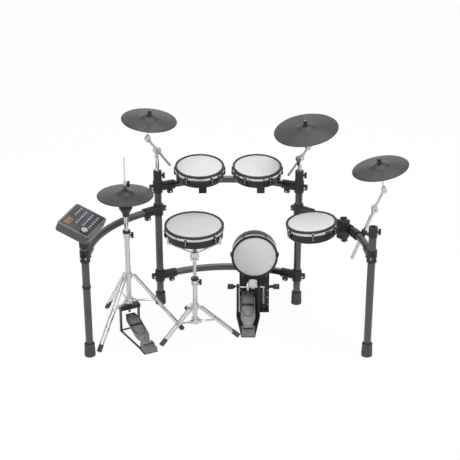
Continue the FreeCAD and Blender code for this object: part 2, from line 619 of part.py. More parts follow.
FLOOR_PIVOT = hinge_of(TOM_SPOTS["floor_tom"])
FLOOR_FOOT = FLOOR_PIVOT - Vector(0, 0, float(S.knuckle_d) / 2 + 8)
FLOOR_CLAMP = arm_point(S.floor_clamp_y)
FLOOR_END = Vector(FLOOR_CLAMP.x, FLOOR_CLAMP.y, FLOOR_FOOT.z)
FLOOR_ROD = rod_to("floor_rod", S.knuckle_d / 2 - 3, FLOOR_FOOT, FLOOR_END)
FLOOR_SLEEVE = S.sleeve_rise - 16
FLOOR_OUT = (FLOOR_END - FLOOR_FOOT).normalize()
FLOOR_TURN = about((0, 0, 1), math.degrees(math.atan2(FLOOR_OUT.y, FLOOR_OUT.x)))
BRACKET_LONG = S.sleeve_d
BRACKET_HIGH = S.sleeve_rise + 36
BRACKET_AT = FLOOR_CLAMP - FLOOR_OUT * (float(BRACKET_LONG) / 2 + 8) + Vector(0, 0, 8)
BRACKET = block("floor_bracket", (BRACKET_LONG, S.sleeve_rise - 22, BRACKET_HIGH), BRACKET_AT, FLOOR_TURN)
BRACKET_EAR_AT = FLOOR_CLAMP - FLOOR_OUT * 22 - Vector(0, 0, float(S.sleeve_rise - 10))
BRACKET_EAR = block("floor_bracket_ear", (S.ear_long, S.ear_wide, S.ear_high), BRACKET_EAR_AT, FLOOR_TURN)
BRACKET_TOP = BRACKET_AT + Vector(0, 0, float(BRACKET_HIGH) / 2)
BRACKET_WING = wing_bolt("floor_wing")
BRACKET_WING.Placement = Placement(BRACKET_TOP, about((0, 1, 0), -90))
FLOOR_MOUNT = cut("floor_mount",
                  fuse("floor_solid", yoke("floor_yoke", Placement(FLOOR_PIVOT, about((0, 0, 1), -90))),
                       FLOOR_ROD, BRACKET, BRACKET_EAR, BRACKET_WING,
                       arm_sleeve("floor_sleeve", S.sleeve_d / 2, FLOOR_SLEEVE, S.floor_clamp_y)),
                  arm_sleeve("floor_bore", GRIP_R, S.sleeve_rise + 20, S.floor_clamp_y))
node("tom_mounts", [tom_mount("tom_left", 180 - TOM_ANGLE), tom_mount("tom_right", TOM_ANGLE), FLOOR_MOUNT])


# Cymbal pads. A cymbal's frame has its origin under the bell's hole, with Z up through the hole.
def cymbal_pad(name, diameter):
    rim = diameter / 2
    bell = S.bell_d / 2
    hole = S.cymbal_hole / 2
    thick = S.cymbal_thick
    low = -S.bell_high - S.bow_high
    return turned(name, [
        (hole, dim(0)), (bell * 0.55, -S.bell_high * 0.25), (bell * 0.85, -S.bell_high * 0.6),
        (bell, -S.bell_high), (rim - 3, low), (rim, low + 1.5), (rim, low + thick - 1.5),
        (rim - 3, low + thick), (bell + 3, thick - S.bell_high), (bell * 0.88, thick - S.bell_high * 0.6),
        (bell * 0.58, thick - S.bell_high * 0.25), (hole, thick)])


CRASH_PAD = cymbal_pad("crash_pad", S.crash_d)
RIDE_PAD = cymbal_pad("ride_pad", S.ride_d)


def wing_nut(name, bore):
    """A nut with two wings round a bore along Z."""
    hub = cone(f"{name}_hub", S.wing_hub_d / 2 + 2, S.wing_hub_d / 2, S.wing_hub)
    wings = block(f"{name}_wings", (S.wing_span, S.wing_thick, S.wing_high), (0, 0, S.wing_hub - 2))
    return cut(name, fuse(f"{name}_solid", hub, wings), cylinder(f"{name}_bore", bore, S.wing_span))


STEM_FIT = S.stem_d / 2 + S.fit
HOLE_R = S.cymbal_hole / 2
SEAT_R = Dim(f"(sqrt({HOLE_R.text}^2 + {S.seat_drop.text}^2) - {S.seat_gap.text})",
             math.hypot(HOLE_R, S.seat_drop) - float(S.seat_gap))
SEAT_BALL = DOC.addObject("Part::Sphere", "cymbal_ball")
bind(SEAT_BALL, "Radius", SEAT_R)
SEAT_BALL.Angle1 = 0
SEAT = cut("cymbal_seat", SEAT_BALL, cylinder("cymbal_seat_bore", STEM_FIT, S.seat_d))
TOP_FELT = turned("cymbal_top_felt", [
    (STEM_FIT, dim(0)), (S.seat_top_d / 2, dim(0)), (S.seat_d / 2 - 2, S.seat_high - 2),
    (S.seat_d / 2 - 2, S.seat_high), (STEM_FIT, S.seat_high)])
WASHER = tube("cymbal_washer", S.washer_d / 2, STEM_FIT, S.washer_thick)
CYMBAL_NUT = wing_nut("cymbal_nut", STEM_FIT)


def tilter_parts(name, stem):
    """A forked tilter with its stem along Z, the felts and the wing nut."""
    ear_x = S.tip_knuckle / 2 + S.ear_gap + S.tip_ear / 2
    span = S.tip_knuckle + S.ear_gap * 2 + S.tip_ear * 2
    along = facing((1, 0, 0))
    cheeks = [cylinder(f"{name}_cheek", S.tip_knuckle_d / 2, S.tip_ear, spot(x - S.tip_ear / 2, 0, 0, along))
              for x in (-ear_x, ear_x)]
    webs = [block(f"{name}_web", (S.tip_ear, S.tip_knuckle_d / 2, S.tip_knuckle_d / 2 + 6),
                  (x, 0, S.tip_knuckle_d / 4 + 3)) for x in (-ear_x, ear_x)]
    low = S.tip_knuckle_d / 2 + 2
    bridge = block(f"{name}_bridge", (span, S.tip_knuckle_d / 2, 6), (0, 0, low + 3))
    pin = cylinder(f"{name}_pin", S.tip_pin_d / 2, span + 8, spot(-span / 2 - 4, 0, 0, along))
    post = cylinder(f"{name}_stem", S.stem_d / 2, stem + S.stem_over - low, spot(0, 0, low))
    fork = fuse(f"{name}_fork", *cheeks, *webs, bridge, pin, post)
    seat_z = stem - S.seat_drop
    over = stem + S.cymbal_thick + S.swing_gap
    return [fork, copy(WASHER, spot(0, 0, seat_z - S.washer_thick)), copy(SEAT, spot(0, 0, seat_z)),
            copy(TOP_FELT, spot(0, 0, over)), copy(CYMBAL_NUT, spot(0, 0, over + S.seat_high))]


def boom_tube(name, radius, length):
    """A height tube along Z that ends in one half of the ratchet."""
    half = S.disc_gap / 2
    pipe = tube(f"{name}_pipe", radius, radius - S.boom_wall, length - S.boom_neck, spot(0, 0, -length))
    cap = cylinder(f"{name}_cap", radius, 8, spot(0, 0, -S.boom_neck))
    neck = block(f"{name}_neck", (radius - half - 1, radius * 1.6, S.boom_neck - 6),
                 ((radius - half - 1) * -0.5 - half, 0, -S.boom_neck / 2 - 1))
    along = facing((1, 0, 0))
    disc = cylinder(f"{name}_disc", S.disc_d / 2, S.disc_thick, spot(-half - S.disc_thick, 0, 0, along))
    hole = cylinder(f"{name}_hole", S.pin_d / 2 + S.pin_gap, S.disc_thick + 2,
                    spot(-half - S.disc_thick - 1, 0, 0, along))
    return cut(f"{name}_tube", fuse(f"{name}_tube_solid", pipe, cap, neck, disc), hole)


def boom_arm(name, radius, length, tail, tip_turn):
    """A boom rod along Z with the other half of the ratchet, a knuckle at its tip and the ratchet's knob."""
    half = S.disc_gap / 2
    offset = half + S.disc_thick / 2
    along = facing((1, 0, 0))
    rod = cylinder(f"{name}_rod", radius, tail + length - S.tip_knuckle_d / 2 + 2, spot(offset, 0, -tail))
    disc = cylinder(f"{name}_half", S.disc_d / 2, S.disc_thick, spot(half, 0, 0, along))
    pin = cylinder(f"{name}_pivot", S.pin_d / 2, S.disc_thick + half + 4,
                   spot(-half - S.disc_thick - 2, 0, 0, along))
    knob = wing_bolt(f"{name}_knob")
    knob.Placement = spot(half + S.disc_thick, 0, 0)
    tip_at = spot(offset, 0, length, about((0, 0, 1), tip_turn))
    middle = spot(-S.tip_knuckle / 2, 0, 0, along)
    tip = cylinder(f"{name}_tip", S.tip_knuckle_d / 2, S.tip_knuckle, tip_at.multiply(middle))
    hole = cylinder(f"{name}_tip_hole", S.tip_pin_d / 2 + S.pin_gap, S.tip_knuckle, tip_at.multiply(middle))
    return [cut(f"{name}_boom", fuse(f"{name}_boom_solid", rod, disc, pin, tip), hole), knob]


def boom_set(name, pivot, run, normal, stem, pad, tube_axis, tube_long, tube_r, rod_r, tail):
    """A cymbal on its boom, from the ratchet's middle and the run from there to the tilter."""
    run = Vector(*run)
    length = Dim(f"{run.Length:.3f}", run.Length)
    boom_dir = Vector(*run).normalize()
    normal = Vector(*normal).normalize()
    tube_axis = Vector(*tube_axis).normalize()
    side = tube_axis.cross(boom_dir).normalize()
    tube_at = in_frame(*pivot, facing(tube_axis, side))
    boom_at = in_frame(*pivot, facing(boom_dir, side))
    pin = boom_dir.cross(normal).normalize()
    tip_turn = math.degrees(math.atan2(pin.dot(boom_dir.cross(side)), pin.dot(side)))
    node(f"{name}_tube", [boom_tube(name, tube_r, tube_long)], tube_at)
    node(f"{name}_boom", boom_arm(name, rod_r, length, tail, tip_turn), boom_at)
    tip = boom_at.multVec(vec(S.disc_gap / 2 + S.disc_thick / 2, 0, length))
    tilter_at = Placement(tip, facing(normal, pin))
    node(f"{name}_tilter", tilter_parts(name, stem), tilter_at)
    node(f"{name}_cymbal", [copy(pad, spot(0, 0, stem))], tilter_at)
    return {"pivot": boom_at.Base, "side": side, "tip": tip, "pin": pin,
            "seat": tilter_at.multVec(vec(0, 0, stem - S.seat_drop)), "axis": tube_axis}


UP = (0, 0, 1)
LEAN_ANGLE = math.radians(float(S.arm_tube_lean))
ARM_TUBE_AXIS = (math.sin(LEAN_ANGLE), 0, math.cos(LEAN_ANGLE))
CRASH_LEFT_RUN = vec(S.crash_left_x_run, S.crash_left_y_run, S.crash_left_z_run)
RIDE_RUN = vec(S.ride_x_run, S.ride_y_run, S.ride_z_run)
CRASH_RIGHT_RUN = vec(S.crash_right_x_run, 0, S.crash_right_z_run)
CRASH_BESIDE = arm_point(S.crash_right_y).x + float(S.frame_shift_x + S.arm_tube_side)
CRASH_RIGHT_X = CRASH_BESIDE + float(S.crash_right_z - S.arm_z) * math.tan(LEAN_ANGLE)


def boom_tail(run):
    """How far a rear boom's rod runs back without reaching the tom beside it."""
    room = S.post_half - S.tom_x - S.tom_d / 2 - S.tail_room
    return room / (abs(run.x) / run.Length)


BOOMS = {
    "crash_left": boom_set("crash_left", (*REAR_SPOTS[0], S.crash_left_z), CRASH_LEFT_RUN,
                           (0.1, -0.078, 0.992), S.crash_stem, CRASH_PAD, UP,
                           S.crash_left_z - S.post_top + S.boom_tuck, S.boom_d / 2, S.boom_rod_d / 2,
                           boom_tail(CRASH_LEFT_RUN)),
    "ride": boom_set("ride", (*REAR_SPOTS[1], S.ride_z), RIDE_RUN, (-0.15, -0.149, 0.977),
                     S.ride_stem, RIDE_PAD, UP, S.ride_z - S.post_top + S.boom_tuck,
                     S.boom_d / 2, S.boom_rod_d / 2, boom_tail(RIDE_RUN)),
    "crash_right": boom_set("crash_right", (CRASH_RIGHT_X, S.crash_right_y, S.crash_right_z), CRASH_RIGHT_RUN,
                            (-0.2, -0.04, 0.979), S.crash_right_stem, CRASH_PAD, ARM_TUBE_AXIS,
                            S.arm_tube_long, S.arm_tube_d / 2, S.arm_rod_d / 2, dim(0)),
}

# The clamp that holds the right crash's tube beside the right arm.
CRASH_AXIS = Vector(*ARM_TUBE_AXIS).normalize()
CRASH_PIVOT = BOOMS["crash_right"]["pivot"]
CRASH_NEAR = CRASH_PIVOT - CRASH_AXIS * ((CRASH_PIVOT.z - float(S.arm_z)) / CRASH_AXIS.z)
CLAMP_Y = CRASH_NEAR.y + float(S.frame_shift_y)
CLAMP_LONG = S.sleeve_rise - 16


def crash_sleeve(name, radius):
    start = CRASH_NEAR - CRASH_AXIS * (float(CLAMP_LONG) / 2)
    return cylinder(name, radius, CLAMP_LONG, Placement(start, facing(CRASH_AXIS)))


KNOB_AT = CRASH_NEAR + vec(S.arm_tube_d / 2 + 3.5, 0, 0)
KNOB_SEAT = cylinder("arm_clamp_seat", S.wing_hub_d / 2 + S.fit, S.wing_hub,
                     Placement(KNOB_AT, facing((1, 0, 0))))
CLAMP_SOLID = fuse("arm_clamp_solid", arm_sleeve("arm_clamp_ring", S.sleeve_d / 2, CLAMP_LONG, CLAMP_Y),
                   crash_sleeve("crash_ring", S.arm_tube_d / 2 + 6))
BOOM_CLAMP = cut("boom_clamp", CLAMP_SOLID, arm_sleeve("arm_clamp_bore", GRIP_R, CLAMP_LONG, CLAMP_Y),
                 crash_sleeve("crash_bore", S.arm_tube_d / 2 + 0.15), KNOB_SEAT)
node("boom_clamp", [BOOM_CLAMP, copy(WING, Placement(KNOB_AT, about((1, 0, 0), 90)))])


# Tripod stands. A leg's frame has X away from the stand's tube and Z up from the floor.
def ray(angle):
    return about((0, 0, 1), angle)


def tripod_leg(name, top_z, brace_z, reach):
    """A leg of two strips, the brace that steadies it and the rubber tip on the floor."""
    top = vec(S.leg_root, 0, top_z)
    foot = vec(reach, 0, S.leg_foot_z)
    run = foot - top
    slope = Rotation(run, Vector(0, 1, 0), Vector(), "XYZ")
    strip_long = run.Length - float(S.tip_long) * 0.7
    middle = top + run.normalize() * (strip_long / 2)
    side = S.leg_gap / 2
    strips = [block(f"{name}_strip", (dim(strip_long), S.leg_thick, S.leg_strip),
                    middle + vec(0, side * end, 0), slope) for end in (-1, 1)]
    along_y = facing((0, 1, 0))
    pin_long = S.leg_gap + S.leg_thick
    knee = top + run * (strip_long * 0.5)
    pins = [cylinder(f"{name}_pin", S.board_pin_d / 2, pin_long,
                     Placement(point - vec(0, pin_long / 2, 0), along_y)) for point in (top, knee)]
    leg = fuse(f"{name}_leg", *strips, *pins)
    heel = vec(S.leg_root, 0, brace_z)
    brace = rod_to(f"{name}_brace_rod", S.leg_strip / 2 - 1, heel, knee)
    eyes = [cylinder(f"{name}_eye", S.leg_strip / 2 + 1, S.leg_gap - S.leg_thick - 2,
                     Placement(point - vec(0, (S.leg_gap - S.leg_thick - 2) / 2, 0), along_y))
            for point in (heel, knee)]
    holes = [cylinder(f"{name}_eye_hole", S.board_pin_d / 2 + S.fit, S.leg_gap,
                      Placement(point - vec(0, S.leg_gap / 2, 0), along_y)) for point in (heel, knee)]
    brace = cut(f"{name}_brace", fuse(f"{name}_brace_solid", brace, *eyes), *holes)
    tip_start = top + run * strip_long
    tip = cylinder(f"{name}_tip_rod", S.tip_d / 2, S.tip_long, Placement(tip_start, facing(run)))
    floor = block(f"{name}_floor", (S.tip_long * 4, S.tip_d * 2, S.tip_d * 2), (reach, 0, -S.tip_d))
    return [leg, brace], cut(f"{name}_tip", tip, floor)


def tripod_collar(name, bore, z, angles, brace):
    """A collar on the tube with a lug for each leg or brace."""
    low = spot(0, 0, z - S.tripod_collar / 2)
    ring = cylinder(f"{name}_ring", S.tripod_collar_d / 2, S.tripod_collar, low)
    reach = S.leg_root + 5
    wide = 5 if brace else S.leg_gap - S.leg_thick - 2
    offsets = (-1, 1) if brace else (0,)
    step = (S.leg_gap - S.leg_thick - 2) / 2 + 0.5 + 2.5
    solids = [ring]
    tools = [cylinder(f"{name}_bore", bore, S.tripod_collar, low)]
    for angle in angles:
        for offset in offsets:
            middle = ray(angle).multVec(vec(reach / 2, step * offset, z))
            solids.append(block(f"{name}_lug", (reach, wide, S.leg_strip), middle, ray(angle)))
        if not brace:
            start = ray(angle).multVec(vec(S.leg_root, -S.leg_gap, z))
            tools.append(cylinder(f"{name}_hole", S.board_pin_d / 2 + S.fit, S.leg_gap * 2,
                                  Placement(start, ray(angle).multiply(facing((0, 1, 0))))))
    solid = cut(name, fuse(f"{name}_solid", *solids), *tools)
    if not brace:
        return [solid]
    pins = [cylinder(f"{name}_pin", S.board_pin_d / 2, step * 2,
                     Placement(ray(angle).multVec(vec(S.leg_root, -step, z)),
                               ray(angle).multiply(facing((0, 1, 0))))) for angle in angles]
    return [fuse(f"{name}_pinned", solid, *pins)]


def height_lock(name, lower, upper, z):
    """A collar over the base tube's end that grips the upper tube."""
    ring = turned(f"{name}_ring", [
        (lower + S.fit, -S.lock_low), (S.lock_d / 2, -S.lock_low), (S.lock_d / 2, S.lock_top),
        (upper + S.fit * 2, S.lock_top), (upper + S.fit * 2, dim(0)), (lower + S.fit, dim(0))])
    seat = cylinder(f"{name}_seat", S.wing_hub_d / 2 + S.fit, S.lock_d,
                    spot(S.lock_d / 2 - 2, 0, -S.lock_low / 2, facing((1, 0, 0))))
    body = cut(f"{name}_lock", ring, seat)
    body.Placement = spot(0, 0, z)
    knob = copy(WING, spot(S.lock_d / 2 - 2, 0, z - S.lock_low / 2))
    return [body, knob]


def tripod(name, base_d, low, top, leg_z, brace_z, reach, upper_d, angles):
    """A stand's base: tube, legs, braces, collars and height lock, with the three tips apart."""
    base_r = base_d / 2
    leg, tip = tripod_leg(name, leg_z, brace_z, reach)
    pieces = [tube(f"{name}_base", base_r, base_r - S.stand_wall, top - low, spot(0, 0, low))]
    pieces += tripod_collar(f"{name}_upper_collar", base_r + S.fit, leg_z, angles, False)
    pieces += tripod_collar(f"{name}_lower_collar", base_r + S.fit, brace_z, angles, True)
    pieces += height_lock(name, base_r, upper_d / 2, top)
    pieces += [copy(part, spot(0, 0, 0, ray(angle))) for part in leg for angle in angles]
    return pieces, [(tip, angle) for angle in angles]


# Hi-hat stand with its pedal. The pedal's frame turns about the stand's tube.
HAT_AT = in_frame(S.hat_x, S.hat_y, 0)
HAT_ANGLES = (0, 121, 239)
HAT_BASE_R = S.hat_base_d / 2
HAT_UPPER_R = S.hat_upper_d / 2
HAT_PARTS, HAT_TIPS = tripod("hihat", S.hat_base_d, S.hat_base_low, S.hat_base_top, S.hat_leg_z,
                             S.hat_brace_z, S.hat_leg_reach, S.hat_upper_d, HAT_ANGLES)
node("hihat_stand", HAT_PARTS, HAT_AT)
node("hihat_upper_tube", [tube("hat_upper", HAT_UPPER_R, HAT_UPPER_R - S.stand_wall, S.hat_upper_top - 400,
                               spot(0, 0, 400))], HAT_AT)
CONE_LOW = S.cone_low_d / 2
CONE_TOP = S.cone_top_d / 2
HAT_CONTROL = turned("hat_controller", [
    (HAT_UPPER_R + S.fit, dim(-12)), (CONE_LOW, dim(-12)), (CONE_LOW + 4, dim(8)),
    (CONE_TOP, S.cone_rise - 16),
    (CONE_TOP, S.cone_rise), (CONE_TOP - 9, S.cone_rise), (CONE_TOP - 9, S.cone_rise - 14),
    (S.hat_rod_d / 2 + 1, S.cone_rise - 14), (S.hat_rod_d / 2 + 1, dim(0)), (HAT_UPPER_R + S.fit, dim(0))])
node("hihat_controller", [copy(HAT_CONTROL, spot(0, 0, S.hat_upper_top))], HAT_AT)

HAT_ROD_R = S.hat_rod_d / 2
HAT_ROD_LOW = 131
PLUNGER_Z = S.hat_upper_top + S.cone_rise - 14 + S.hat_lift + 1.5
HAT_ROD = cylinder("hat_rod", HAT_ROD_R, S.hat_rod_top - HAT_ROD_LOW, spot(0, 0, HAT_ROD_LOW))
PLUNGER = cylinder("hat_plunger", CONE_TOP - 12, 5, spot(0, 0, PLUNGER_Z))
LOW_NUT = cylinder("hat_low_nut", S.seat_d / 2 - 3, 6, spot(0, 0, S.hat_seat_z - S.seat_high - 6))
CLUTCH_Z = S.hat_seat_z + S.cymbal_thick + S.seat_high
CLUTCH = cylinder("hat_clutch_body", S.seat_d / 2 - 7, 40, spot(0, 0, CLUTCH_Z))
CLUTCH_KNOB_AT = spot(S.seat_d / 2 - 9, 0, CLUTCH_Z + 26)
CLUTCH_SEAT = cylinder("hat_clutch_seat", S.wing_hub_d / 2 + S.fit, S.wing_hub,
                       CLUTCH_KNOB_AT.multiply(spot(0, 0, 0, facing((1, 0, 0)))))
ROD_SOLID = cut("hat_rod_solid", fuse("hat_rod_parts", HAT_ROD, PLUNGER, LOW_NUT, CLUTCH), CLUTCH_SEAT)
FELT_BORE = HAT_ROD_R + S.fit
HAT_FELT = turned("hat_felt", [
    (FELT_BORE, dim(0)), (S.seat_d / 2 - 2, dim(0)), (S.seat_d / 2 - 2, S.seat_high - 2.5),
    (S.cymbal_hole / 2, S.seat_high), (FELT_BORE, S.seat_high)])
node("hihat_pull_rod", [ROD_SOLID, copy(WING, CLUTCH_KNOB_AT),
                        copy(HAT_FELT, spot(0, 0, S.hat_seat_z - S.seat_high)),
                        copy(HAT_FELT, spot(0, 0, CLUTCH_Z, FLIP))], HAT_AT)
node("hihat_cymbal", [copy(CRASH_PAD, spot(0, 0, S.hat_seat_z))], HAT_AT)


# Pedals. A pedal's frame has Y from the heel to the toe and Z up from the floor.
def footboard(name, length):
    """A footboard along Y whose hinge barrel lies along X at the origin."""
    half = S.board_wide / 2
    neck = S.barrel_long / 2 - 3
    board = plate(f"{name}_board", [
        (-neck, dim(4)), (neck, dim(4)), (neck, dim(16)), (half, dim(62)), (half, length - 46),
        (half - 14, length), (14 - half, length), (-half, length - 46), (-half, dim(62)), (-neck, dim(16))],
        S.board_thick, spot(0, 0, -S.board_thick / 2))
    across = spot(-S.barrel_long / 2, 0, 0, facing((1, 0, 0)))
    barrel = cylinder(f"{name}_barrel", S.barrel_d / 2, S.barrel_long, across)
    hole = cylinder(f"{name}_barrel_hole", S.board_pin_d / 2 + S.pin_gap, S.barrel_long, across)
    return cut(f"{name}_footboard", fuse(f"{name}_board_solid", board, barrel), hole)


def heel_plate(name, hinge_y, hinge_z):
    """A heel block on the base plate with two ears and the pin of the footboard."""
    ear_x = S.barrel_long / 2 + S.ear_gap + 3
    low = S.base_thick
    rest_high = hinge_z - S.barrel_d / 2 - low + 4
    ear_high = hinge_z - low + 8
    ear_y = (hinge_y + S.heel_long - 12) / 2
    rest = block(f"{name}_rest", (S.heel_wide, S.heel_long - 6, rest_high),
                 (0, S.heel_long / 2 - 3, low + rest_high / 2))
    ears = [block(f"{name}_ear", (dim(6), hinge_y - S.heel_long + 30, ear_high),
                  (ear_x * side, ear_y, low + ear_high / 2)) for side in (-1, 1)]
    span = S.barrel_long + S.ear_gap * 2 + 12
    pin = cylinder(f"{name}_pin", S.board_pin_d / 2, span + 6,
                   spot(-span / 2 - 3, hinge_y, hinge_z, facing((1, 0, 0))))
    return fuse(f"{name}_heel", rest, *ears, pin)


HAT_HEEL_Y = -(S.hat_hinge + 60)
HAT_TURN = about((0, 0, 1), S.hat_turn)
HAT_PEDAL_AT = in_frame(S.hat_x, S.hat_y, 0, HAT_TURN)
HEEL_HALF = S.heel_wide / 2 + 4
HEAD_HALF = dim(58)
HAT_PLATE = plate("hat_plate", [
    (-HEAD_HALF, dim(14)), (-HEAD_HALF, dim(-12)), (-HEEL_HALF, -S.hat_hinge + 10), (-HEEL_HALF, HAT_HEEL_Y),
    (HEEL_HALF, HAT_HEEL_Y), (HEEL_HALF, -S.hat_hinge + 10), (HEAD_HALF, dim(-12)), (HEAD_HALF, dim(14))],
    S.base_thick)
HAT_WINDOW = plate("hat_window", [
    (12 - HEAD_HALF, dim(2)), (12 - HEAD_HALF, dim(-14)), (10 - HEEL_HALF, -S.hat_hinge + 28),
    (HEEL_HALF - 10, -S.hat_hinge + 28), (HEAD_HALF - 12, dim(-14)), (HEAD_HALF - 12, dim(2))],
    S.base_thick)
UPRIGHT_X = HEAD_HALF - 5
HAT_UPRIGHTS = [block("hat_upright", (dim(8), dim(22), S.hat_base_low),
                      (UPRIGHT_X * side, 0, S.hat_base_low / 2)) for side in (-1, 1)]
HAT_HEAD = block("hat_head", (HEAD_HALF * 2, dim(40), dim(22)), (0, 0, S.hat_base_low + 3))
HAT_BASE = cut("hat_base", HAT_PLATE, HAT_WINDOW)
HAT_FRAME = cut("hat_frame", fuse("hat_frame_solid", HAT_BASE, *HAT_UPRIGHTS, HAT_HEAD),
                cylinder("hat_head_bore", HAT_BASE_R + S.fit, 40, spot(0, 0, S.hat_base_low)),
                cylinder("hat_rod_bore", HAT_ROD_R + 2, 40, spot(0, 0, S.hat_base_low - 20)))
HAT_HEEL = heel_plate("hat", dim(60), S.hat_hinge_z)
HAT_HEEL.Placement = spot(0, HAT_HEEL_Y, 0)
node("hihat_pedal_frame", [HAT_FRAME, HAT_HEEL], HAT_PEDAL_AT)
HAT_BOARD_AT = HAT_PEDAL_AT.multiply(spot(0, -S.hat_hinge, S.hat_hinge_z, about((1, 0, 0), S.hat_slope)))
node("hihat_footboard", [footboard("hat", S.hat_board)], HAT_BOARD_AT)
LINK_LOW = float(S.hat_hinge_z) + (float(S.hat_hinge) + 6) * math.tan(math.radians(float(S.hat_slope))) + 3.6
HAT_LINK = block("hat_link", (dim(16), dim(5), HAT_ROD_LOW - LINK_LOW), (0, 0, (HAT_ROD_LOW + LINK_LOW) / 2))
node("hihat_linkage", [HAT_LINK], HAT_PEDAL_AT)


# Snare drum on its stand. The basket shares the snare's tilted frame.
SNARE_AT = in_frame(S.snare_x, S.snare_y, S.snare_z, about((1, 0, 0), S.snare_tilt))
SNARE_PIVOT = SNARE_AT.multVec(vec(0, 0, -S.basket_drop))
STAND_AT = Placement(Vector(SNARE_PIVOT.x, SNARE_PIVOT.y, 0), Rotation())
# The right leg turns towards the front as it gets longer, so that its tip passes the kick pedal's heel.
STAND_LEG_TURN = math.degrees(math.asin(float((S.stand_leg_reach - S.stand_leg_free) / S.stand_leg_swing)))
STAND_ANGLES = (-STAND_LEG_TURN, 103, 223.5)
BASKET_ANGLES = (90, 210, 330)
STAND_PARTS, STAND_TIPS = tripod("snare", S.stand_base_d, S.stand_base_low, S.stand_base_top, S.stand_leg_z,
                                 S.stand_brace_z, S.stand_leg_reach, S.stand_upper_d, STAND_ANGLES)
node("snare_stand", STAND_PARTS, STAND_AT)
UPPER_R = S.stand_upper_d / 2
UPPER_LOW = 180
UPPER_TOP = SNARE_PIVOT.z - float(S.knuckle_d) / 2 - 7
SNARE_PIPE = tube("snare_upper_pipe", UPPER_R, UPPER_R - S.stand_wall, UPPER_TOP - UPPER_LOW,
                  spot(0, 0, UPPER_LOW))
SNARE_TUBE = fuse("snare_upper", SNARE_PIPE, yoke("snare_yoke", spot(0, 0, SNARE_PIVOT.z)))
node("snare_upper_tube", [SNARE_TUBE], STAND_AT)


def basket_grip(name, skirt, floor_z, arm_end):
    """A rubber grip under and outside the shell's lower edge, round the arm's end."""
    shelf = block(f"{name}_shelf", (S.grip_high, S.grip_wide, S.grip_thick),
                  (skirt + 0.4 + S.grip_thick - S.grip_high / 2, 0, floor_z - S.grip_thick / 2))
    wall = block(f"{name}_wall", (S.grip_thick, S.grip_wide, S.grip_high + S.grip_thick),
                 (skirt + 0.4 + S.grip_thick / 2, 0, floor_z + S.grip_high / 2 - S.grip_thick / 2))
    return cut(name, fuse(f"{name}_solid", shelf, wall), basket_arm(f"{name}_socket", *arm_end))


def basket_arm(name, start, end):
    return rod_to(name, S.basket_arm_d / 2, start, end)


SNARE_SKIRT = S.snare_d / 2 - 4
HUB_LOW = S.basket_rise - S.basket_drop
ARM_RUN = (vec(16, 0, HUB_LOW + 6), vec(SNARE_SKIRT - 6, 0, -S.snare_depth - 5))
HUB = cylinder("basket_hub", S.basket_hub_d / 2, 12, spot(0, 0, HUB_LOW))
BASKET_ARMS = []
for basket_angle in BASKET_ANGLES:
    rod = basket_arm("basket_arm", *ARM_RUN)
    rod.Placement = spot(0, 0, 0, ray(basket_angle)).multiply(rod.Placement)
    BASKET_ARMS.append(rod)
BASKET_KNUCKLE = knuckle("basket_knuckle", S.basket_rise, S.knuckle_d + 6)
BASKET_KNUCKLE.Placement = spot(0, 0, -S.basket_drop)
BASKET = fuse("basket", HUB, BASKET_KNUCKLE, *BASKET_ARMS)
GRIP = basket_grip("basket_grip", SNARE_SKIRT, -S.snare_depth, ARM_RUN)
node("snare_basket", [BASKET] + [copy(GRIP, spot(0, 0, 0, ray(angle))) for angle in BASKET_ANGLES], SNARE_AT)
for piece, parts in drum_pad("snare", S.snare_d, S.snare_depth, 15).items():
    node(f"snare_{piece}", parts, SNARE_AT)

# Kick drum, its tower and the rear stabiliser.
KICK_AT = in_frame(S.kick_x, S.kick_y, S.kick_z, facing((0, -1, 0), (1, 0, 0)))
for piece, parts in drum_pad("kick", S.kick_d, S.kick_depth, 0).items():
    node(f"kick_{piece}", parts, KICK_AT)
TOWER_Y = 12
KICK_SKIRT = S.kick_d / 2 - 4
BEHIND = facing((0, 1, 0))
COLUMN = block("tower_column", (S.tower_wide, S.tower_deep, S.tower_top - S.tower_base),
               (0, TOWER_Y + S.tower_deep / 2, (S.tower_top + S.tower_base) / 2))
SADDLE = cylinder("tower_saddle", KICK_SKIRT + S.fit, 200, spot(0, 0, S.kick_z, BEHIND))
LUG_ROOM = cylinder("tower_lug_room", S.kick_d / 2 + 8, TOWER_Y + 46, spot(0, 0, S.kick_z, BEHIND))
TOWER_ROOM = block("tower_room", (S.tower_wide - S.tower_wall * 2, S.tower_deep, S.tower_room),
                   (0, TOWER_Y + S.tower_wall + S.tower_deep / 2, S.tower_base + S.tower_room / 2))
FOOT_PLATE = block("tower_foot", (S.tower_wide, dim(130), S.tower_base), (0, 35, S.tower_base / 2))
STRUT_Z = 16
BAR_BACK = 254
STRUT_START = dim(TOWER_Y) + S.tower_wall
STRUT = block("tower_strut", (dim(36), BAR_BACK - STRUT_START, dim(16)),
              (0, (STRUT_START + BAR_BACK) / 2, STRUT_Z))
SPUR_LONG = dim(232)
ACROSS = facing((1, 0, 0))
SPUR_BAR = cylinder("tower_spur", 9, SPUR_LONG, spot(-SPUR_LONG / 2, BAR_BACK, STRUT_Z, ACROSS))
TOWER = fuse("tower", cut("tower_block", COLUMN, SADDLE, LUG_ROOM, TOWER_ROOM), FOOT_PLATE, STRUT, SPUR_BAR)
TOWER_AT = in_frame(S.kick_x, S.kick_y, 0)
node("kick_tower", [TOWER], TOWER_AT)
SPUR_TIP = cylinder("spur_tip", STRUT_Z, 36, spot(SPUR_LONG / 2, BAR_BACK, STRUT_Z, ACROSS))
SPUR_TIPS = [copy(SPUR_TIP, TOWER_AT.multiply(SPUR_TIP.Placement)),
             copy(SPUR_TIP, TOWER_AT.multiply(spot(-SPUR_LONG / 2 - 36, BAR_BACK, STRUT_Z, ACROSS)))]

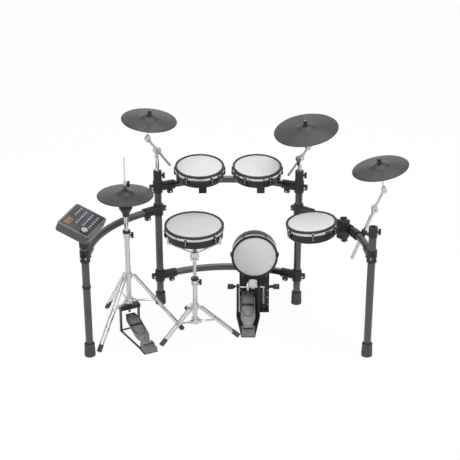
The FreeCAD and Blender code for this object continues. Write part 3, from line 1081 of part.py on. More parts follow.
# All rubber feet together: the rack's cups, the tripods' tips and the stabiliser's ends.
RACK_CUPS = [copy(CUP, in_frame(x, y, 0)) for x, y in REAR_SPOTS + FRONT_SPOTS]
TRIPOD_TIPS = [copy(tip, base.multiply(spot(0, 0, 0, ray(angle))).multiply(tip.Placement))
               for base, tips in ((HAT_AT, HAT_TIPS), (STAND_AT, STAND_TIPS)) for tip, angle in tips]
node("rubber_feet", RACK_CUPS + TRIPOD_TIPS + SPUR_TIPS)

# Kick pedal: base with uprights, heel plate, footboard, axle with cam, beater, chain and spring.
PEDAL_AT = in_frame(S.kick_heel_x, S.kick_heel_y, 0)
PEDAL_END = S.kick_y - 30 - S.kick_heel_y
HEEL_HALF_K = S.heel_wide / 2 + 2
PEDAL_PLATE = plate("pedal_plate", [
    (-HEEL_HALF_K, dim(0)), (HEEL_HALF_K, dim(0)), (dim(70), PEDAL_END - 50), (dim(70), PEDAL_END),
    (dim(-64), PEDAL_END), (dim(-64), PEDAL_END - 50)], S.base_thick)
UPRIGHT_SPOTS = (-56, 62)
UPRIGHT_TOP = S.axle_z + 14
UPRIGHTS = [block("pedal_upright", (S.upright_wide, S.upright_deep, UPRIGHT_TOP),
                  (x, S.axle_y, UPRIGHT_TOP / 2)) for x in UPRIGHT_SPOTS]
SPRING_X = 88
SPRING_LOW = S.axle_z - 24 - S.spring_long
SPRING_SHELF = block("spring_shelf", (dim(34), dim(16), dim(8)), (SPRING_X - 9, S.axle_y, SPRING_LOW - 10))
ADJUSTER = cylinder("spring_adjuster", 2.6, 44, spot(SPRING_X, S.axle_y, SPRING_LOW - 46))
ADJUSTER_NUT = cylinder("spring_nut", 7, 7, spot(SPRING_X, S.axle_y, SPRING_LOW - 21))
PEDAL_SOLID = fuse("pedal_base_solid", PEDAL_PLATE, *UPRIGHTS, SPRING_SHELF, ADJUSTER, ADJUSTER_NUT)
PEDAL_BASE = cut("pedal_base", PEDAL_SOLID,
                 cylinder("axle_bore", S.axle_d / 2 + S.pin_gap, 200, spot(-100, S.axle_y, S.axle_z, ACROSS)))
node("kick_pedal_base", [PEDAL_BASE], PEDAL_AT)
KICK_HEEL = heel_plate("kick", S.kick_hinge, S.kick_hinge_z)
node("kick_heel_plate", [KICK_HEEL], PEDAL_AT)
KICK_BOARD_AT = PEDAL_AT.multiply(spot(0, S.kick_hinge, S.kick_hinge_z, about((1, 0, 0), S.kick_slope)))
node("kick_footboard", [footboard("kick", S.kick_board)], KICK_BOARD_AT)

AXLE_AT = PEDAL_AT.multiply(spot(0, S.axle_y, S.axle_z))
AXLE_LONG = dim(164)
AXLE = cylinder("axle_rod", S.axle_d / 2, AXLE_LONG, spot(-70, 0, 0, ACROSS))
CAM = cylinder("axle_cam", S.cam_d / 2, S.cam_thick, spot(-S.cam_thick / 2, 0, 0, ACROSS))
HUB_LONG = 20
BEATER_HUB = cylinder("beater_hub", 13, HUB_LONG, spot(S.beater_x - HUB_LONG / 2, 0, 0, ACROSS))
CRANK = block("spring_crank", (dim(6), dim(10), dim(30)), (SPRING_X, 0, -9))
BEATER_TURN = about((1, 0, 0), S.beater_rest)
ROD_R = dim(4)
SHAFT_PLACE = spot(S.beater_x, 0, 0, BEATER_TURN)
HUB_HOLE = cylinder("beater_hub_hole", ROD_R + S.fit, 60, SHAFT_PLACE.multiply(spot(0, 0, -30)))
AXLE_SOLID = cut("axle_solid", fuse("axle_parts", AXLE, CAM, BEATER_HUB, CRANK),
                 cut("hub_hole", HUB_HOLE, cylinder("hub_core", S.axle_d / 2, 40, spot(10, 0, 0, ACROSS))))
node("kick_axle", [AXLE_SOLID], AXLE_AT)
SHAFT_START = S.axle_d / 2 + 0.2
BEATER_SHAFT = cylinder("beater_shaft", ROD_R, S.beater_long - SHAFT_START, spot(0, 0, SHAFT_START))
BEATER_TAIL = cylinder("beater_tail", ROD_R, 22, spot(0, 0, -SHAFT_START - 22))
BEATER_R = S.beater_d / 2
BEATER_HALF = S.beater_deep / 2
BEATER_HEAD = turned("beater_head", [
    (dim(0), -BEATER_HALF), (BEATER_R - 6, -BEATER_HALF), (BEATER_R, 6 - BEATER_HALF),
    (BEATER_R, BEATER_HALF - 6), (BEATER_R - 6, BEATER_HALF), (dim(0), BEATER_HALF)],
    spot(0, 0, S.beater_long, facing((0, 1, 0))))
BEATER_FELT = cut("beater_felt", BEATER_HEAD, cylinder("beater_socket", ROD_R, S.beater_long))
BEATER_PARTS = (BEATER_SHAFT, BEATER_TAIL, BEATER_FELT)
node("kick_beater", [copy(part, SHAFT_PLACE.multiply(part.Placement)) for part in BEATER_PARTS], AXLE_AT)


def kick_chain():
    """A roller chain that hangs from the cam's far side to the footboard's toe."""
    pitch = 8.0
    hang_y = float(S.cam_d) / 2 + 4.2
    board_at = PEDAL_AT.inverse().multiply(KICK_BOARD_AT)
    toe = board_at.multVec(vec(0, S.kick_board - 8, S.board_thick / 2))
    drop = float(S.axle_z) - toe.z - 4.5
    count = int(drop // pitch)
    step = drop / count
    pieces = []
    for index in range(count + 1):
        z = -index * step
        pieces.append(cylinder("chain_roller", 2.6, 7.4, spot(-3.7, hang_y, z, ACROSS)))
    for index in range(count):
        spread = 3.0 if index % 2 else 4.2
        for side in (-1, 1):
            pieces.append(block("chain_plate", (dim(1.2), dim(5), dim(step + 4)),
                                (spread * side, hang_y, -(index + 0.5) * step)))
    pin = cylinder("chain_pin", 1.2, 10, spot(-5, hang_y, 0, ACROSS))
    return fuse("chain", *pieces, pin)


def bow(start, leave, end):
    """An arc from start to end whose end tangents meet at leave."""
    middle = (start + end) * 0.5
    half = (end - start).Length / 2
    height = leave - middle
    rise = half * math.tan(math.atan2(height.Length, half) / 2)
    return Part.Arc(start, middle + Vector(height).normalize() * rise, end).toShape()


def own_gap(path, quarters, curls):
    """The least gap between turns, measured on points along the wire's middle line."""
    points = path.discretize(quarters * 6 + 1)
    half_turn = int(len(points) / curls / 2)
    nearest = min(points[index].distanceToPoint(other)
                  for index in range(len(points) - half_turn) for other in points[index + half_turn:])
    return nearest - float(S.spring_wire)


def spring_wire():
    """A coil spring along Z as one tube on pairs of arcs, a quarter turn for each pair."""
    radius = (float(S.spring_d) - float(S.spring_wire)) / 2
    pitch = float(S.spring_long) / float(S.spring_curls)
    quarters = int(float(S.spring_curls) * 4)

    def on_coil(angle):
        point = Vector(radius * math.cos(angle), radius * math.sin(angle), pitch * angle / (2 * math.pi))
        tangent = Vector(-radius * math.sin(angle), radius * math.cos(angle), pitch / (2 * math.pi))
        return point, tangent.normalize()

    arcs = []
    for quarter in range(quarters):
        (start, leave), (end, arrive) = on_coil(quarter * math.pi / 2), on_coil((quarter + 1) * math.pi / 2)
        span = end - start
        both = leave + arrive
        spread = 2 * (1 - leave.dot(arrive))
        reach = (math.sqrt(span.dot(both) ** 2 + spread * span.dot(span)) - span.dot(both)) / spread
        first = start + leave * reach
        last = end - arrive * reach
        joint = (first + last) * 0.5
        arcs += [bow(start, first, joint), bow(joint, last, end)]
    path = Part.Wire(arcs)
    print(f"spring's least gap to itself {own_gap(path, quarters, float(S.spring_curls)):.2f} mm")
    section = Part.Wire(Part.Circle(on_coil(0)[0], on_coil(0)[1], float(S.spring_wire) / 2).toShape())
    wire = DOC.addObject("Part::Feature", "spring_wire")
    solid = path.makePipeShell([section], True, False)
    wire.Shape = solid if solid.Volume > 0 else solid.reversed()
    return wire


node("kick_chain", [kick_chain()], AXLE_AT)
SPRING_AT = PEDAL_AT.multiply(spot(SPRING_X, S.axle_y, SPRING_LOW - 0.8))
node("kick_spring", [spring_wire()], SPRING_AT)

# Sound module on its hinge above the front left leg. Its frame has the top face's middle as origin.
MODULE_TURN = about((0, 0, 1), S.module_yaw).multiply(about((1, 0, 0), S.module_tilt))
MODULE_PIVOT = in_frame(*FRONT_SPOTS[0], S.module_hinge_z).Base
HINGE_IN_MODULE = vec(0, -S.module_reach, -S.module_thick - S.module_rise)
MODULE_AT = Placement(MODULE_PIVOT - MODULE_TURN.multVec(HINGE_IN_MODULE), MODULE_TURN)
HALF_W = S.module_wide / 2
HALF_D = S.module_deep / 2
SCREEN_SPOT = (-58.0, 52.0)
DIAL_SPOT = (-88.0, -48.0)
KEY_ROWS = ((14.0, (-40.0, -16.0, 8.0)), (48.0, (20.0, 44.0, 68.0, 92.0)),
            (14.0, (32.0, 56.0, 80.0)), (-22.0, (-36.0, -12.0, 12.0, 36.0, 60.0, 84.0)),
            (-54.0, (-36.0, -12.0, 12.0, 36.0, 60.0, 84.0)))
KEY_SPOTS = [(x, y) for y, row in KEY_ROWS for x in row]
CASE_BLOCK = plate("module_outline", [
    (-HALF_W, 10 - HALF_D), (10 - HALF_W, -HALF_D), (HALF_W - 10, -HALF_D), (HALF_W, 10 - HALF_D),
    (HALF_W, HALF_D - 10), (HALF_W - 10, HALF_D), (10 - HALF_W, HALF_D), (-HALF_W, HALF_D - 10)],
    S.module_thick, spot(0, 0, -S.module_thick))
CAVITY = (S.module_wide - S.module_wall * 2 - 14, S.module_deep - S.module_wall * 2 - 14)
CASE_ROOM = block("module_room", (*CAVITY, S.module_thick - S.module_wall),
                  (0, 0, (-S.module_thick - S.module_wall) / 2))
SCREEN_ROOM = block("screen_room", (S.screen_wide, S.screen_deep, dim(4)), (*SCREEN_SPOT, 0.8))
KEY_ROOM_SIZE = (S.key_wide + 0.6, S.key_deep + 0.6, S.module_wall * 3)
KEY_ROOMS = [block("key_room", KEY_ROOM_SIZE, (x, y, 0)) for x, y in KEY_SPOTS]
DIAL_ROOM = cylinder("dial_room", 3 + S.pin_gap, S.module_wall * 4, spot(*DIAL_SPOT, -S.module_wall * 2))
MODULE_SHELL = cut("module_shell", CASE_BLOCK, CASE_ROOM, SCREEN_ROOM, DIAL_ROOM, *KEY_ROOMS)
COVER = block("module_cover", (*CAVITY, dim(3)), (0, 0, 1.5 - S.module_thick))
BOARD = block("module_board", (CAVITY[0] - 30, CAVITY[1] - 30, dim(1.6)), (0, 0, -22))
PILLARS = [cylinder("board_pillar", 4, S.module_thick - 25.8, spot(x, y, 3 - S.module_thick))
           for x in (-90, 90) for y in (-55, 55)]
MODULE_KNUCKLE = knuckle("module_knuckle", S.module_rise, S.knuckle_d + 30)
MODULE_KNUCKLE.Placement = Placement(HINGE_IN_MODULE, Rotation())
node("module_case", [MODULE_SHELL, COVER, BOARD, *PILLARS, MODULE_KNUCKLE], MODULE_AT)
PANE = block("screen_pane", (S.screen_wide, S.screen_deep, dim(1.2)), (*SCREEN_SPOT, -0.6))
node("module_screen", [PANE], MODULE_AT)
KEY = block("module_key", (S.key_wide, S.key_deep, dim(6)), (0, 0, -0.5))
KEY_CORNER = KEY.Placement.Base
KEYS = [copy(KEY, Placement(KEY_CORNER + vec(x, y, 0), Rotation())) for x, y in KEY_SPOTS]
node("module_buttons", KEYS, MODULE_AT)
DIAL = fuse("module_dial", cylinder("dial_cap", S.dial_d / 2, S.dial_high, spot(*DIAL_SPOT, 0.5)),
            cylinder("dial_shaft", 3, 9, spot(*DIAL_SPOT, -8)))
node("module_knob", [DIAL], MODULE_AT)
BRACKET_CAP = turned("bracket_cap", [
    (dim(0), dim(0)), (GRIP_R, dim(0)), (GRIP_R, dim(-50)), (S.sleeve_d / 2, dim(-50)),
    (S.sleeve_d / 2, dim(0)), (dim(16), dim(12)), (dim(0), dim(12))],
    in_frame(*FRONT_SPOTS[0], S.left_leg_top))
BRACKET_YOKE = yoke("bracket_yoke", Placement(MODULE_PIVOT, about((0, 0, 1), S.module_yaw)))
node("module_bracket", [fuse("bracket", BRACKET_CAP, BRACKET_YOKE)])


DOC.recompute()
BAD = [feature.Name for feature in DOC.Objects if {"Invalid", "Error"} & set(feature.State)]
for feature in NODES:
    if feature.Shape.isNull() or not feature.Shape.isValid():
        BAD.append(feature.Label)
if BAD:
    raise RuntimeError("features that failed: " + ", ".join(BAD))

os.makedirs("parts", exist_ok=True)
for feature in NODES:
    feature.Shape.exportStep(f"parts/{feature.Label}.step")
print(f"{len(NODES)} sub-parts written")
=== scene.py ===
import json
import logging
import math
from dataclasses import dataclass
from enum import Enum
from typing import Callable, Iterable, Optional, Sequence, Union

import bmesh
import bpy
from mathutils import Euler, Matrix, Vector

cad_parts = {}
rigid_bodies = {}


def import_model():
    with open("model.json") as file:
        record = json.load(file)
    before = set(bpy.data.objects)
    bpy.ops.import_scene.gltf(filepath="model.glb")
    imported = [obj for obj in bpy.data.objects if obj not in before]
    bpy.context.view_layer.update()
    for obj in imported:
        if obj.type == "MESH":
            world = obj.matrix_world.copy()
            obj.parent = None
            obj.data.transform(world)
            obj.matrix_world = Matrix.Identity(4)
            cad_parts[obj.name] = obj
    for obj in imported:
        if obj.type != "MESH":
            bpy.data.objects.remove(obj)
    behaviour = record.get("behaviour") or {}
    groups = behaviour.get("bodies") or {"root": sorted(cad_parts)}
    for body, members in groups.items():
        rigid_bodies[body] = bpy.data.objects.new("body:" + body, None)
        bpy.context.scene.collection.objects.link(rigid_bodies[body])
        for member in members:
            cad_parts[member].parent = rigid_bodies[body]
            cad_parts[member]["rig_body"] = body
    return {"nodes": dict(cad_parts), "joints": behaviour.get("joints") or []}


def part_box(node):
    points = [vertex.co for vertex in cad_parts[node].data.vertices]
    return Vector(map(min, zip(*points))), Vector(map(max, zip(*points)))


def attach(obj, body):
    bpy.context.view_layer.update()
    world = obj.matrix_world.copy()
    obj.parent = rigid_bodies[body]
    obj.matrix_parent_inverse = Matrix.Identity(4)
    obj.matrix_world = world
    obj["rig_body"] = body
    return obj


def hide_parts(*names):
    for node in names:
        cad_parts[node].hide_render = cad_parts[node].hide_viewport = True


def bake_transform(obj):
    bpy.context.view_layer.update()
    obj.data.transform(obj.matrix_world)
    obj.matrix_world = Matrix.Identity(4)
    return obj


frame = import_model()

LOG = logging.getLogger("drum_kit")
Colour = tuple[float, float, float]
Point = tuple[float, float, float]
Pair = tuple[float, float]
Profile = Sequence[Pair]
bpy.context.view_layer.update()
WHITE = (1.0, 1.0, 1.0)
UP = (0.0, 0.0, 1.0)
RIGHT = (1.0, 0.0, 0.0)
FRONT = (0.0, -1.0, 0.0)
# Degrees past which an edge stays sharp
SHARP = 32.0


class Slot(Enum):
    """The record's material slots."""

    RACK_TUBE = "rack_tube"
    BLACK_PLASTIC = "black_plastic"
    BOLT_STEEL = "bolt_steel"
    RUBBER = "rubber"
    SHELL_BLACK = "shell_black"
    MESH_HEAD = "mesh_head"
    RIM_RUBBER = "rim_rubber"
    CHROME = "chrome"
    CYMBAL_RUBBER = "cymbal_rubber"
    BLACK_METAL = "black_metal"
    PEDAL_GREY = "pedal_grey"
    FELT = "felt"
    SPRING_STEEL = "spring_steel"
    MODULE_SLATE = "module_slate"
    SCREEN_AMBER = "screen_amber"
    KEY_GREY = "key_grey"
    KNOB_SILVER = "knob_silver"


class Shade:
    """An output socket that can be used in arithmetic, which adds Math nodes."""

    def __init__(self, nodes: "Nodes", socket: Optional[bpy.types.NodeSocket]) -> None:
        """Keep the tree that owns the socket."""
        self.nodes, self.socket = nodes, socket

    def _math(self, operation: str, *values: "Value") -> "Shade":
        """Add one Math node."""
        return self.nodes.add("ShaderNodeMath", {"operation": operation}, dict(enumerate(values)))

    def __add__(self, other: "Value") -> "Shade":
        """Sum of two values."""
        return self._math("ADD", self, other)

    def __sub__(self, other: "Value") -> "Shade":
        """Difference of two values."""
        return self._math("SUBTRACT", self, other)

    def __rsub__(self, other: "Value") -> "Shade":
        """Difference from a number."""
        return self._math("SUBTRACT", other, self)

    def __mul__(self, other: "Value") -> "Shade":
        """Product of two values."""
        return self._math("MULTIPLY", self, other)

    def __gt__(self, other: "Value") -> "Shade":
        """One where the value is above a limit."""
        return self._math("GREATER_THAN", self, other)

    def __lt__(self, other: "Value") -> "Shade":
        """One where the value is below a limit."""
        return self._math("LESS_THAN", self, other)

    def __abs__(self) -> "Shade":
        """Size of a value."""
        return self._math("ABSOLUTE", self)

    __radd__ = __add__
    __rmul__ = __mul__

    def sine(self) -> "Shade":
        """Sine of a value in radians."""
        return self._math("SINE", self)

    def part(self) -> "Shade":
        """Fraction of a value."""
        return self._math("FRACT", self)

    def most(self, other: "Value") -> "Shade":
        """Larger of two values."""
        return self._math("MAXIMUM", self, other)


Value = Union[Shade, float, Colour]


class Nodes:
    """A tree of nodes in the making."""

    def __init__(self, tree: bpy.types.NodeTree) -> None:
        """Start with no nodes."""
        self.tree = tree
        self.tree.nodes.clear()

    def add(self, kind: str, settings: Optional[dict] = None, inputs: Optional[dict] = None,
            output: Union[int, str] = 0) -> Shade:
        """Add one node.

        Args:
            kind: The node's type.
            settings: Attributes of the node, set first.
            inputs: Values or links by socket name or index.
            output: Which output is wanted.

        Returns:
            The wanted output.
        """
        node = self.tree.nodes.new(kind)
        for key, value in (settings or {}).items():
            setattr(node, key, value)
        for key, value in (inputs or {}).items():
            self.plug(node.inputs[key], value)
        return Shade(self, node.outputs[output] if node.outputs else None)

    def plug(self, socket: bpy.types.NodeSocket, value: Value) -> None:
        """Link a socket or set its value.

        Args:
            socket: The input socket.
            value: Another socket, a number or a colour.
        """
        if isinstance(value, Shade):
            self.tree.links.new(value.socket, socket)
        elif isinstance(value, tuple) and socket.type == "RGBA":
            socket.default_value = (*value, 1.0)
        else:
            socket.default_value = value


class Bench(Nodes):
    """The nodes of one material or of the world."""

    # Places of the colour sockets on a Mix node
    COLOUR_LOW, COLOUR_HIGH, COLOUR_OUT = 6, 7, 2

    def __init__(self, owner: Union[bpy.types.Material, bpy.types.World]) -> None:
        """Start on a new material or world.

        Args:
            owner: The material or world.
        """
        owner.use_nodes = True
        super().__init__(owner.node_tree)
        self.owner = owner

    def place(self, stretch: Optional[Point] = None) -> Shade:
        """The point on the object in metres.

        Args:
            stretch: Factors on the three axes, if it is stretched.

        Returns:
            The point.
        """
        point = self.add("ShaderNodeTexCoord", output="Object")
        if stretch is None:
            return point
        return self.add("ShaderNodeMapping", inputs={"Vector": point, "Scale": stretch})

    def noise(self, scale: float = 1.0, detail: float = 2.0, at: Optional[Shade] = None) -> Shade:
        """Smooth noise from 0 to 1, with its cells per metre, its octaves and perhaps a point of its own."""
        return self.add("ShaderNodeTexNoise", {"noise_dimensions": "3D"},
                        {"Vector": at or self.place(), "Scale": scale, "Detail": detail})

    def along(self, value: Shade) -> Shade:
        """A point at a value on the first axis."""
        return self.add("ShaderNodeCombineXYZ", inputs={0: value})

    def chart(self) -> tuple[Shade, Shade]:
        """Read the piece's own map.

        Returns:
            Its two coordinates.
        """
        chart = self.add("ShaderNodeTexCoord", output="UV")
        split = self.add("ShaderNodeSeparateXYZ", inputs={0: chart})
        return split, Shade(self, split.socket.node.outputs[1])

    def mix(self, share: Value, low: Value, high: Value) -> Shade:
        """Mix two colours by a share from 0 for the first to 1 for the second."""
        return self.add("ShaderNodeMix", {"data_type": "RGBA"},
                        {0: share, self.COLOUR_LOW: low, self.COLOUR_HIGH: high}, self.COLOUR_OUT)

    def bump(self, height: Shade, depth: float) -> Shade:
        """Turn a height from 0 to 1, with its depth in metres, into a normal."""
        return self.add("ShaderNodeBump", inputs={"Strength": 1.0, "Distance": depth, "Height": height})

    def seen(self) -> Shade:
        """Tell the rays of the picture from those that only light it.

        Returns:
            One for the picture's own rays and for those that metal mirrors or that pass through glass.
        """
        camera, glossy, through = (self.add("ShaderNodeLightPath", output=f"Is {kind} Ray")
                                   for kind in ("Camera", "Glossy", "Transmission"))
        return camera.most(glossy).most(through)


@dataclass(frozen=True)
class Finish:
    """A finish with soft patches of two tones, uneven gloss and a fine relief."""

    label: str
    slot: Slot
    dark: Colour
    light: Colour
    gloss: Pair
    metallic: float = 0.0
    patches: float = 14.0
    grain: float = 1500.0
    depth: float = 0.00005
    coat: float = 0.0
    coat_rough: float = 0.15
    sheen: float = 0.0
    shine: float = 0.5
    smudges: float = 3.0

    def tone(self, bench: Bench) -> Shade:
        """Share of the lighter tone."""
        return bench.noise(self.patches, detail=4.0)

    def relief(self, bench: Bench) -> Shade:
        """Height of the relief from 0 to 1."""
        return bench.noise(self.grain)

    def roughness(self, bench: Bench) -> Shade:
        """Roughness between the two limits, with soft smudges that are finer than the patches."""
        low, high = self.gloss
        return low + (high - low) * bench.noise(self.patches * self.smudges, detail=3.0)

    def inputs(self, bench: Bench) -> dict:
        """The Principled shader's inputs: values and links by socket name."""
        return {"Base Color": bench.mix(self.tone(bench), self.dark, self.light),
                "Roughness": self.roughness(bench), "Metallic": self.metallic,
                "Normal": bench.bump(self.relief(bench), self.depth),
                "Coat Weight": self.coat, "Coat Roughness": self.coat_rough,
                "Sheen Weight": self.sheen, "Specular IOR Level": self.shine}

    def material(self) -> bpy.types.Material:
        """Make the finish's material, once.

        Returns:
            The material.
        """
        known = bpy.data.materials.get(self.label)
        if known is None:
            known = bpy.data.materials.new(self.label)
            bench = Bench(known)
            shader = bench.add("ShaderNodeBsdfPrincipled", inputs=self.inputs(bench))
            bench.add("ShaderNodeOutputMaterial", inputs={"Surface": shader})
        return known


@dataclass(frozen=True)
class DrawnTube(Finish):
    """Satin paint over drawn tube, with fine streaks along one axis."""

    streak: Point = (260.0, 260.0, 6.0)
    streak_share: float = 0.7

    def relief(self, bench: Bench) -> Shade:
        """Streaks and a faint orange peel."""
        streaks = bench.noise(detail=3.0, at=bench.place(self.streak))
        return streaks * self.streak_share + bench.noise(self.grain) * (1 - self.streak_share)


@dataclass(frozen=True)
class Polished(Finish):
    """Bright plated metal with faint smudges."""

    metallic: float = 1.0
    clouds: float = 45.0

    def tone(self, bench: Bench) -> Shade:
        """Broad clouding of the plating."""
        return bench.noise(self.clouds, detail=5.0)


@dataclass(frozen=True)
class WovenHead(Finish):
    """A two-ply mesh head whose threads follow the head's own map in metres."""

    depth: float = 0.00008
    pitch: float = 0.0011
    gap_tone: Colour = (0.48, 0.485, 0.49)
    gap_below: float = 0.55
    gap_share: float = 0.8

    def relief(self, bench: Bench) -> Shade:
        """Weave threads that pass over and under each other.

        Args:
            bench: The material's nodes.

        Returns:
            The height from 0 to 1.
        """
        turns = math.pi / self.pitch
        across, along = (abs((way * turns).sine()) for way in bench.chart())
        return across.most(along)

    def inputs(self, bench: Bench) -> dict:
        """Darker gaps between the threads.

        Args:
            bench: The material's nodes.

        Returns:
            Values and links by socket name.
        """
        made = super().inputs(bench)
        gap = (self.relief(bench) < self.gap_below) * self.gap_share
        made["Base Color"] = bench.mix(gap, made["Base Color"], self.gap_tone)
        return made


@dataclass(frozen=True)
class GroovedPad(Finish):
    """Moulded cymbal rubber with rings of fine grooves on the map's second axis, in metres."""

    groove: float = 0.0016
    groove_share: float = 0.35
    grain_share: float = 0.15
    bands: float = 160.0
    band_share: float = 0.6

    def relief(self, bench: Bench) -> Shade:
        """Cut rings with a light grain.

        Args:
            bench: The material's nodes.

        Returns:
            The height from 0 to 1.
        """
        _, radius = bench.chart()
        rings = (radius * (2 * math.pi / self.groove)).sine() * self.groove_share + 0.5
        return rings + bench.noise(self.grain) * self.grain_share

    def tone(self, bench: Bench) -> Shade:
        """Tone some rings and patches lighter.

        Args:
            bench: The material's nodes.

        Returns:
            The share of the lighter tone.
        """
        _, radius = bench.chart()
        bands = bench.noise(at=bench.along(radius * self.bands))
        patches = bench.noise(self.patches, detail=3.0)
        return bands * self.band_share + patches * (1 - self.band_share)


@dataclass(frozen=True)
class Felted(Finish):
    """Pressed felt with crossing fibres."""

    depth: float = 0.0003
    fibre: Point = (2600.0, 500.0, 900.0)

    def relief(self, bench: Bench) -> Shade:
        """Press fibres in two directions.

        Args:
            bench: The material's nodes.

        Returns:
            The height from 0 to 1.
        """
        long, short, thick = self.fibre
        one, other = (bench.noise(detail=4.0, at=bench.place(way))
                      for way in (self.fibre, (short, long, thick)))
        return one.most(other)


@dataclass(frozen=True)
class SpunMetal(Finish):
    """Metal turned on a lathe, with rings on the map's second axis."""

    metallic: float = 1.0
    ring: float = 0.0005
    ring_share: float = 0.4

    def relief(self, bench: Bench) -> Shade:
        """Turning marks."""
        _, radius = bench.chart()
        return (radius * (2 * math.pi / self.ring)).sine() * self.ring_share + 0.5


@dataclass(frozen=True)
class LitDisplay(Finish):
    """A backlit display with rows of plain level bars on a map from 0 to 1."""

    columns: float = 16.0
    rows: float = 5.0
    gaps: Pair = (0.22, 0.3)
    wave: float = 3.1
    wave_high: float = 1.1
    foot: float = 0.12
    half_wide: float = 0.44
    ink: Colour = (0.1, 0.055, 0.02)
    glow: float = 0.05

    def inputs(self, bench: Bench) -> dict:
        """Bars of different heights on a pane with an even glow.

        Args:
            bench: The material's nodes.

        Returns:
            Values and links by socket name.
        """
        across, along = bench.chart()
        cells = ((across * self.columns).part() > self.gaps[0]) * ((along * self.rows).part() > self.gaps[1])
        level = bench.noise(detail=0.0, at=bench.along(across * self.wave)) * self.wave_high
        bars = cells * (along < level) * (along > self.foot) * (abs(across - 0.5) < self.half_wide)
        made = super().inputs(bench)
        lit = bench.mix(bars, made["Base Color"], self.ink)
        made.update({"Base Color": lit, "Emission Color": lit, "Emission Strength": self.glow})
        return made


RACK_PAINT = DrawnTube("rack_satin_paint", Slot.RACK_TUBE, (0.088, 0.085, 0.081), (0.104, 0.1, 0.096),
                       (0.25, 0.32), metallic=0.8, depth=0.00001, coat=0.1)
CLAMP_PLASTIC = Finish("clamp_moulded_plastic", Slot.BLACK_PLASTIC, (0.018, 0.018, 0.0178),
                       (0.034, 0.0335, 0.033), (0.32, 0.46), grain=2200.0, depth=0.00008, shine=0.3)
BOLT_STEEL = Polished("bolt_zinc_steel", Slot.BOLT_STEEL, (0.42, 0.42, 0.42), (0.6, 0.6, 0.6), (0.22, 0.4))
FOOT_RUBBER = Finish("foot_rubber", Slot.RUBBER, (0.042, 0.041, 0.04), (0.064, 0.062, 0.06), (0.5, 0.7),
                     depth=0.00012)
SHELL_LACQUER = Finish("shell_black_lacquer", Slot.SHELL_BLACK, (0.01, 0.01, 0.0105), (0.019, 0.019, 0.0195),
                       (0.24, 0.36), coat=0.1, depth=0.00003, shine=0.3)
DRUM_MESH = WovenHead("drum_mesh", Slot.MESH_HEAD, (0.58, 0.585, 0.59), (0.64, 0.645, 0.65), (0.6, 0.72),
                      shine=0.25)
# Painted light: the kick's mesh and its gaps are toned lighter than the toms' so that its upright head,
# which gets less light, renders brighter.
KICK_MESH_PAINTED_LIGHT = WovenHead("kick_mesh", Slot.MESH_HEAD, (0.86, 0.865, 0.875), (0.92, 0.925, 0.93), (0.6, 0.72),
                      gap_tone=(0.72, 0.725, 0.735))
# Painted shade: the snare's mesh and its gaps are toned darker than the toms' to stand for the shade on its
# tilted head.
SNARE_MESH_PAINTED_SHADE = WovenHead("snare_mesh", Slot.MESH_HEAD, (0.5, 0.505, 0.51), (0.56, 0.565, 0.57), (0.6, 0.72),
                       gap_tone=(0.42, 0.425, 0.43), shine=0.25)
HOOP_RUBBER = Finish("hoop_rubber", Slot.RIM_RUBBER, (0.02, 0.02, 0.02), (0.036, 0.0355, 0.035), (0.4, 0.55),
                     depth=0.0001, shine=0.3)
CHROME = Polished("stand_chrome", Slot.CHROME, (0.52, 0.514, 0.504), (0.64, 0.633, 0.62), (0.05, 0.14),
                  depth=0.00001)
BOOM_PLATING = Polished("boom_satin_plating", Slot.CHROME, (0.5, 0.495, 0.487), (0.61, 0.605, 0.594),
                        (0.28, 0.4), metallic=0.65, depth=0.00002)
CYMBAL = GroovedPad("cymbal_moulded_rubber", Slot.CYMBAL_RUBBER, (0.017, 0.0165, 0.016),
                    (0.028, 0.0272, 0.0264), (0.2, 0.28), depth=0.00022, shine=0.34)
BLACK_ENAMEL = Finish("pedal_black_enamel", Slot.BLACK_METAL, (0.014, 0.014, 0.015), (0.03, 0.03, 0.031),
                      (0.26, 0.42), metallic=0.2, coat=0.1, grain=1200.0, shine=0.3)
PEDAL_CAST = Finish("pedal_cast_metal", Slot.PEDAL_GREY, (0.155, 0.152, 0.147), (0.23, 0.225, 0.218),
                    (0.34, 0.48), metallic=0.35, grain=2600.0, depth=0.00006)
BEATER_FELT = Felted("beater_felt", Slot.FELT, (0.62, 0.6, 0.56), (0.76, 0.75, 0.71), (0.85, 0.95),
                     sheen=0.3)
DARK_FELT = Felted("cymbal_felt", Slot.FELT, (0.03, 0.03, 0.03), (0.07, 0.068, 0.066), (0.85, 0.95),
                   sheen=0.2)
SPRING_WIRE = Polished("spring_wire_steel", Slot.SPRING_STEEL, (0.5, 0.5, 0.5), (0.66, 0.66, 0.66),
                       (0.18, 0.32))
MODULE_CASE = Finish("module_slate_plastic", Slot.MODULE_SLATE, (0.056, 0.056, 0.058), (0.09, 0.088, 0.09),
                     (0.36, 0.5), grain=2600.0, depth=0.00006)
PANEL_GLOSS = Finish("module_panel_film", Slot.MODULE_SLATE, (0.02, 0.022, 0.028), (0.036, 0.038, 0.046),
                     (0.32, 0.44), depth=0.00002, shine=0.3)
LAMP_BLUE = Finish("module_key_lamp", Slot.KEY_GREY, (0.32, 0.42, 0.58), (0.42, 0.52, 0.68), (0.15, 0.25))
DISPLAY = LitDisplay("module_display_film", Slot.SCREEN_AMBER, (0.2, 0.135, 0.05), (0.26, 0.175, 0.066),
                     (0.3, 0.4), shine=0.15)
KEY_CAP = Finish("module_key_cap", Slot.KEY_GREY, (0.3, 0.315, 0.33), (0.4, 0.415, 0.43), (0.42, 0.55))
DIAL_METAL = SpunMetal("module_dial_metal", Slot.KNOB_SILVER, (0.3, 0.3, 0.3), (0.4, 0.4, 0.4), (0.3, 0.42))


def set_out(name: str, data: bpy.types.ID) -> bpy.types.Object:
    """Put a new object in the scene.

    Args:
        name: Its name.
        data: Its mesh, light or camera.

    Returns:
        The object.
    """
    made = bpy.data.objects.new(name, data)
    bpy.context.scene.collection.objects.link(made)
    return made


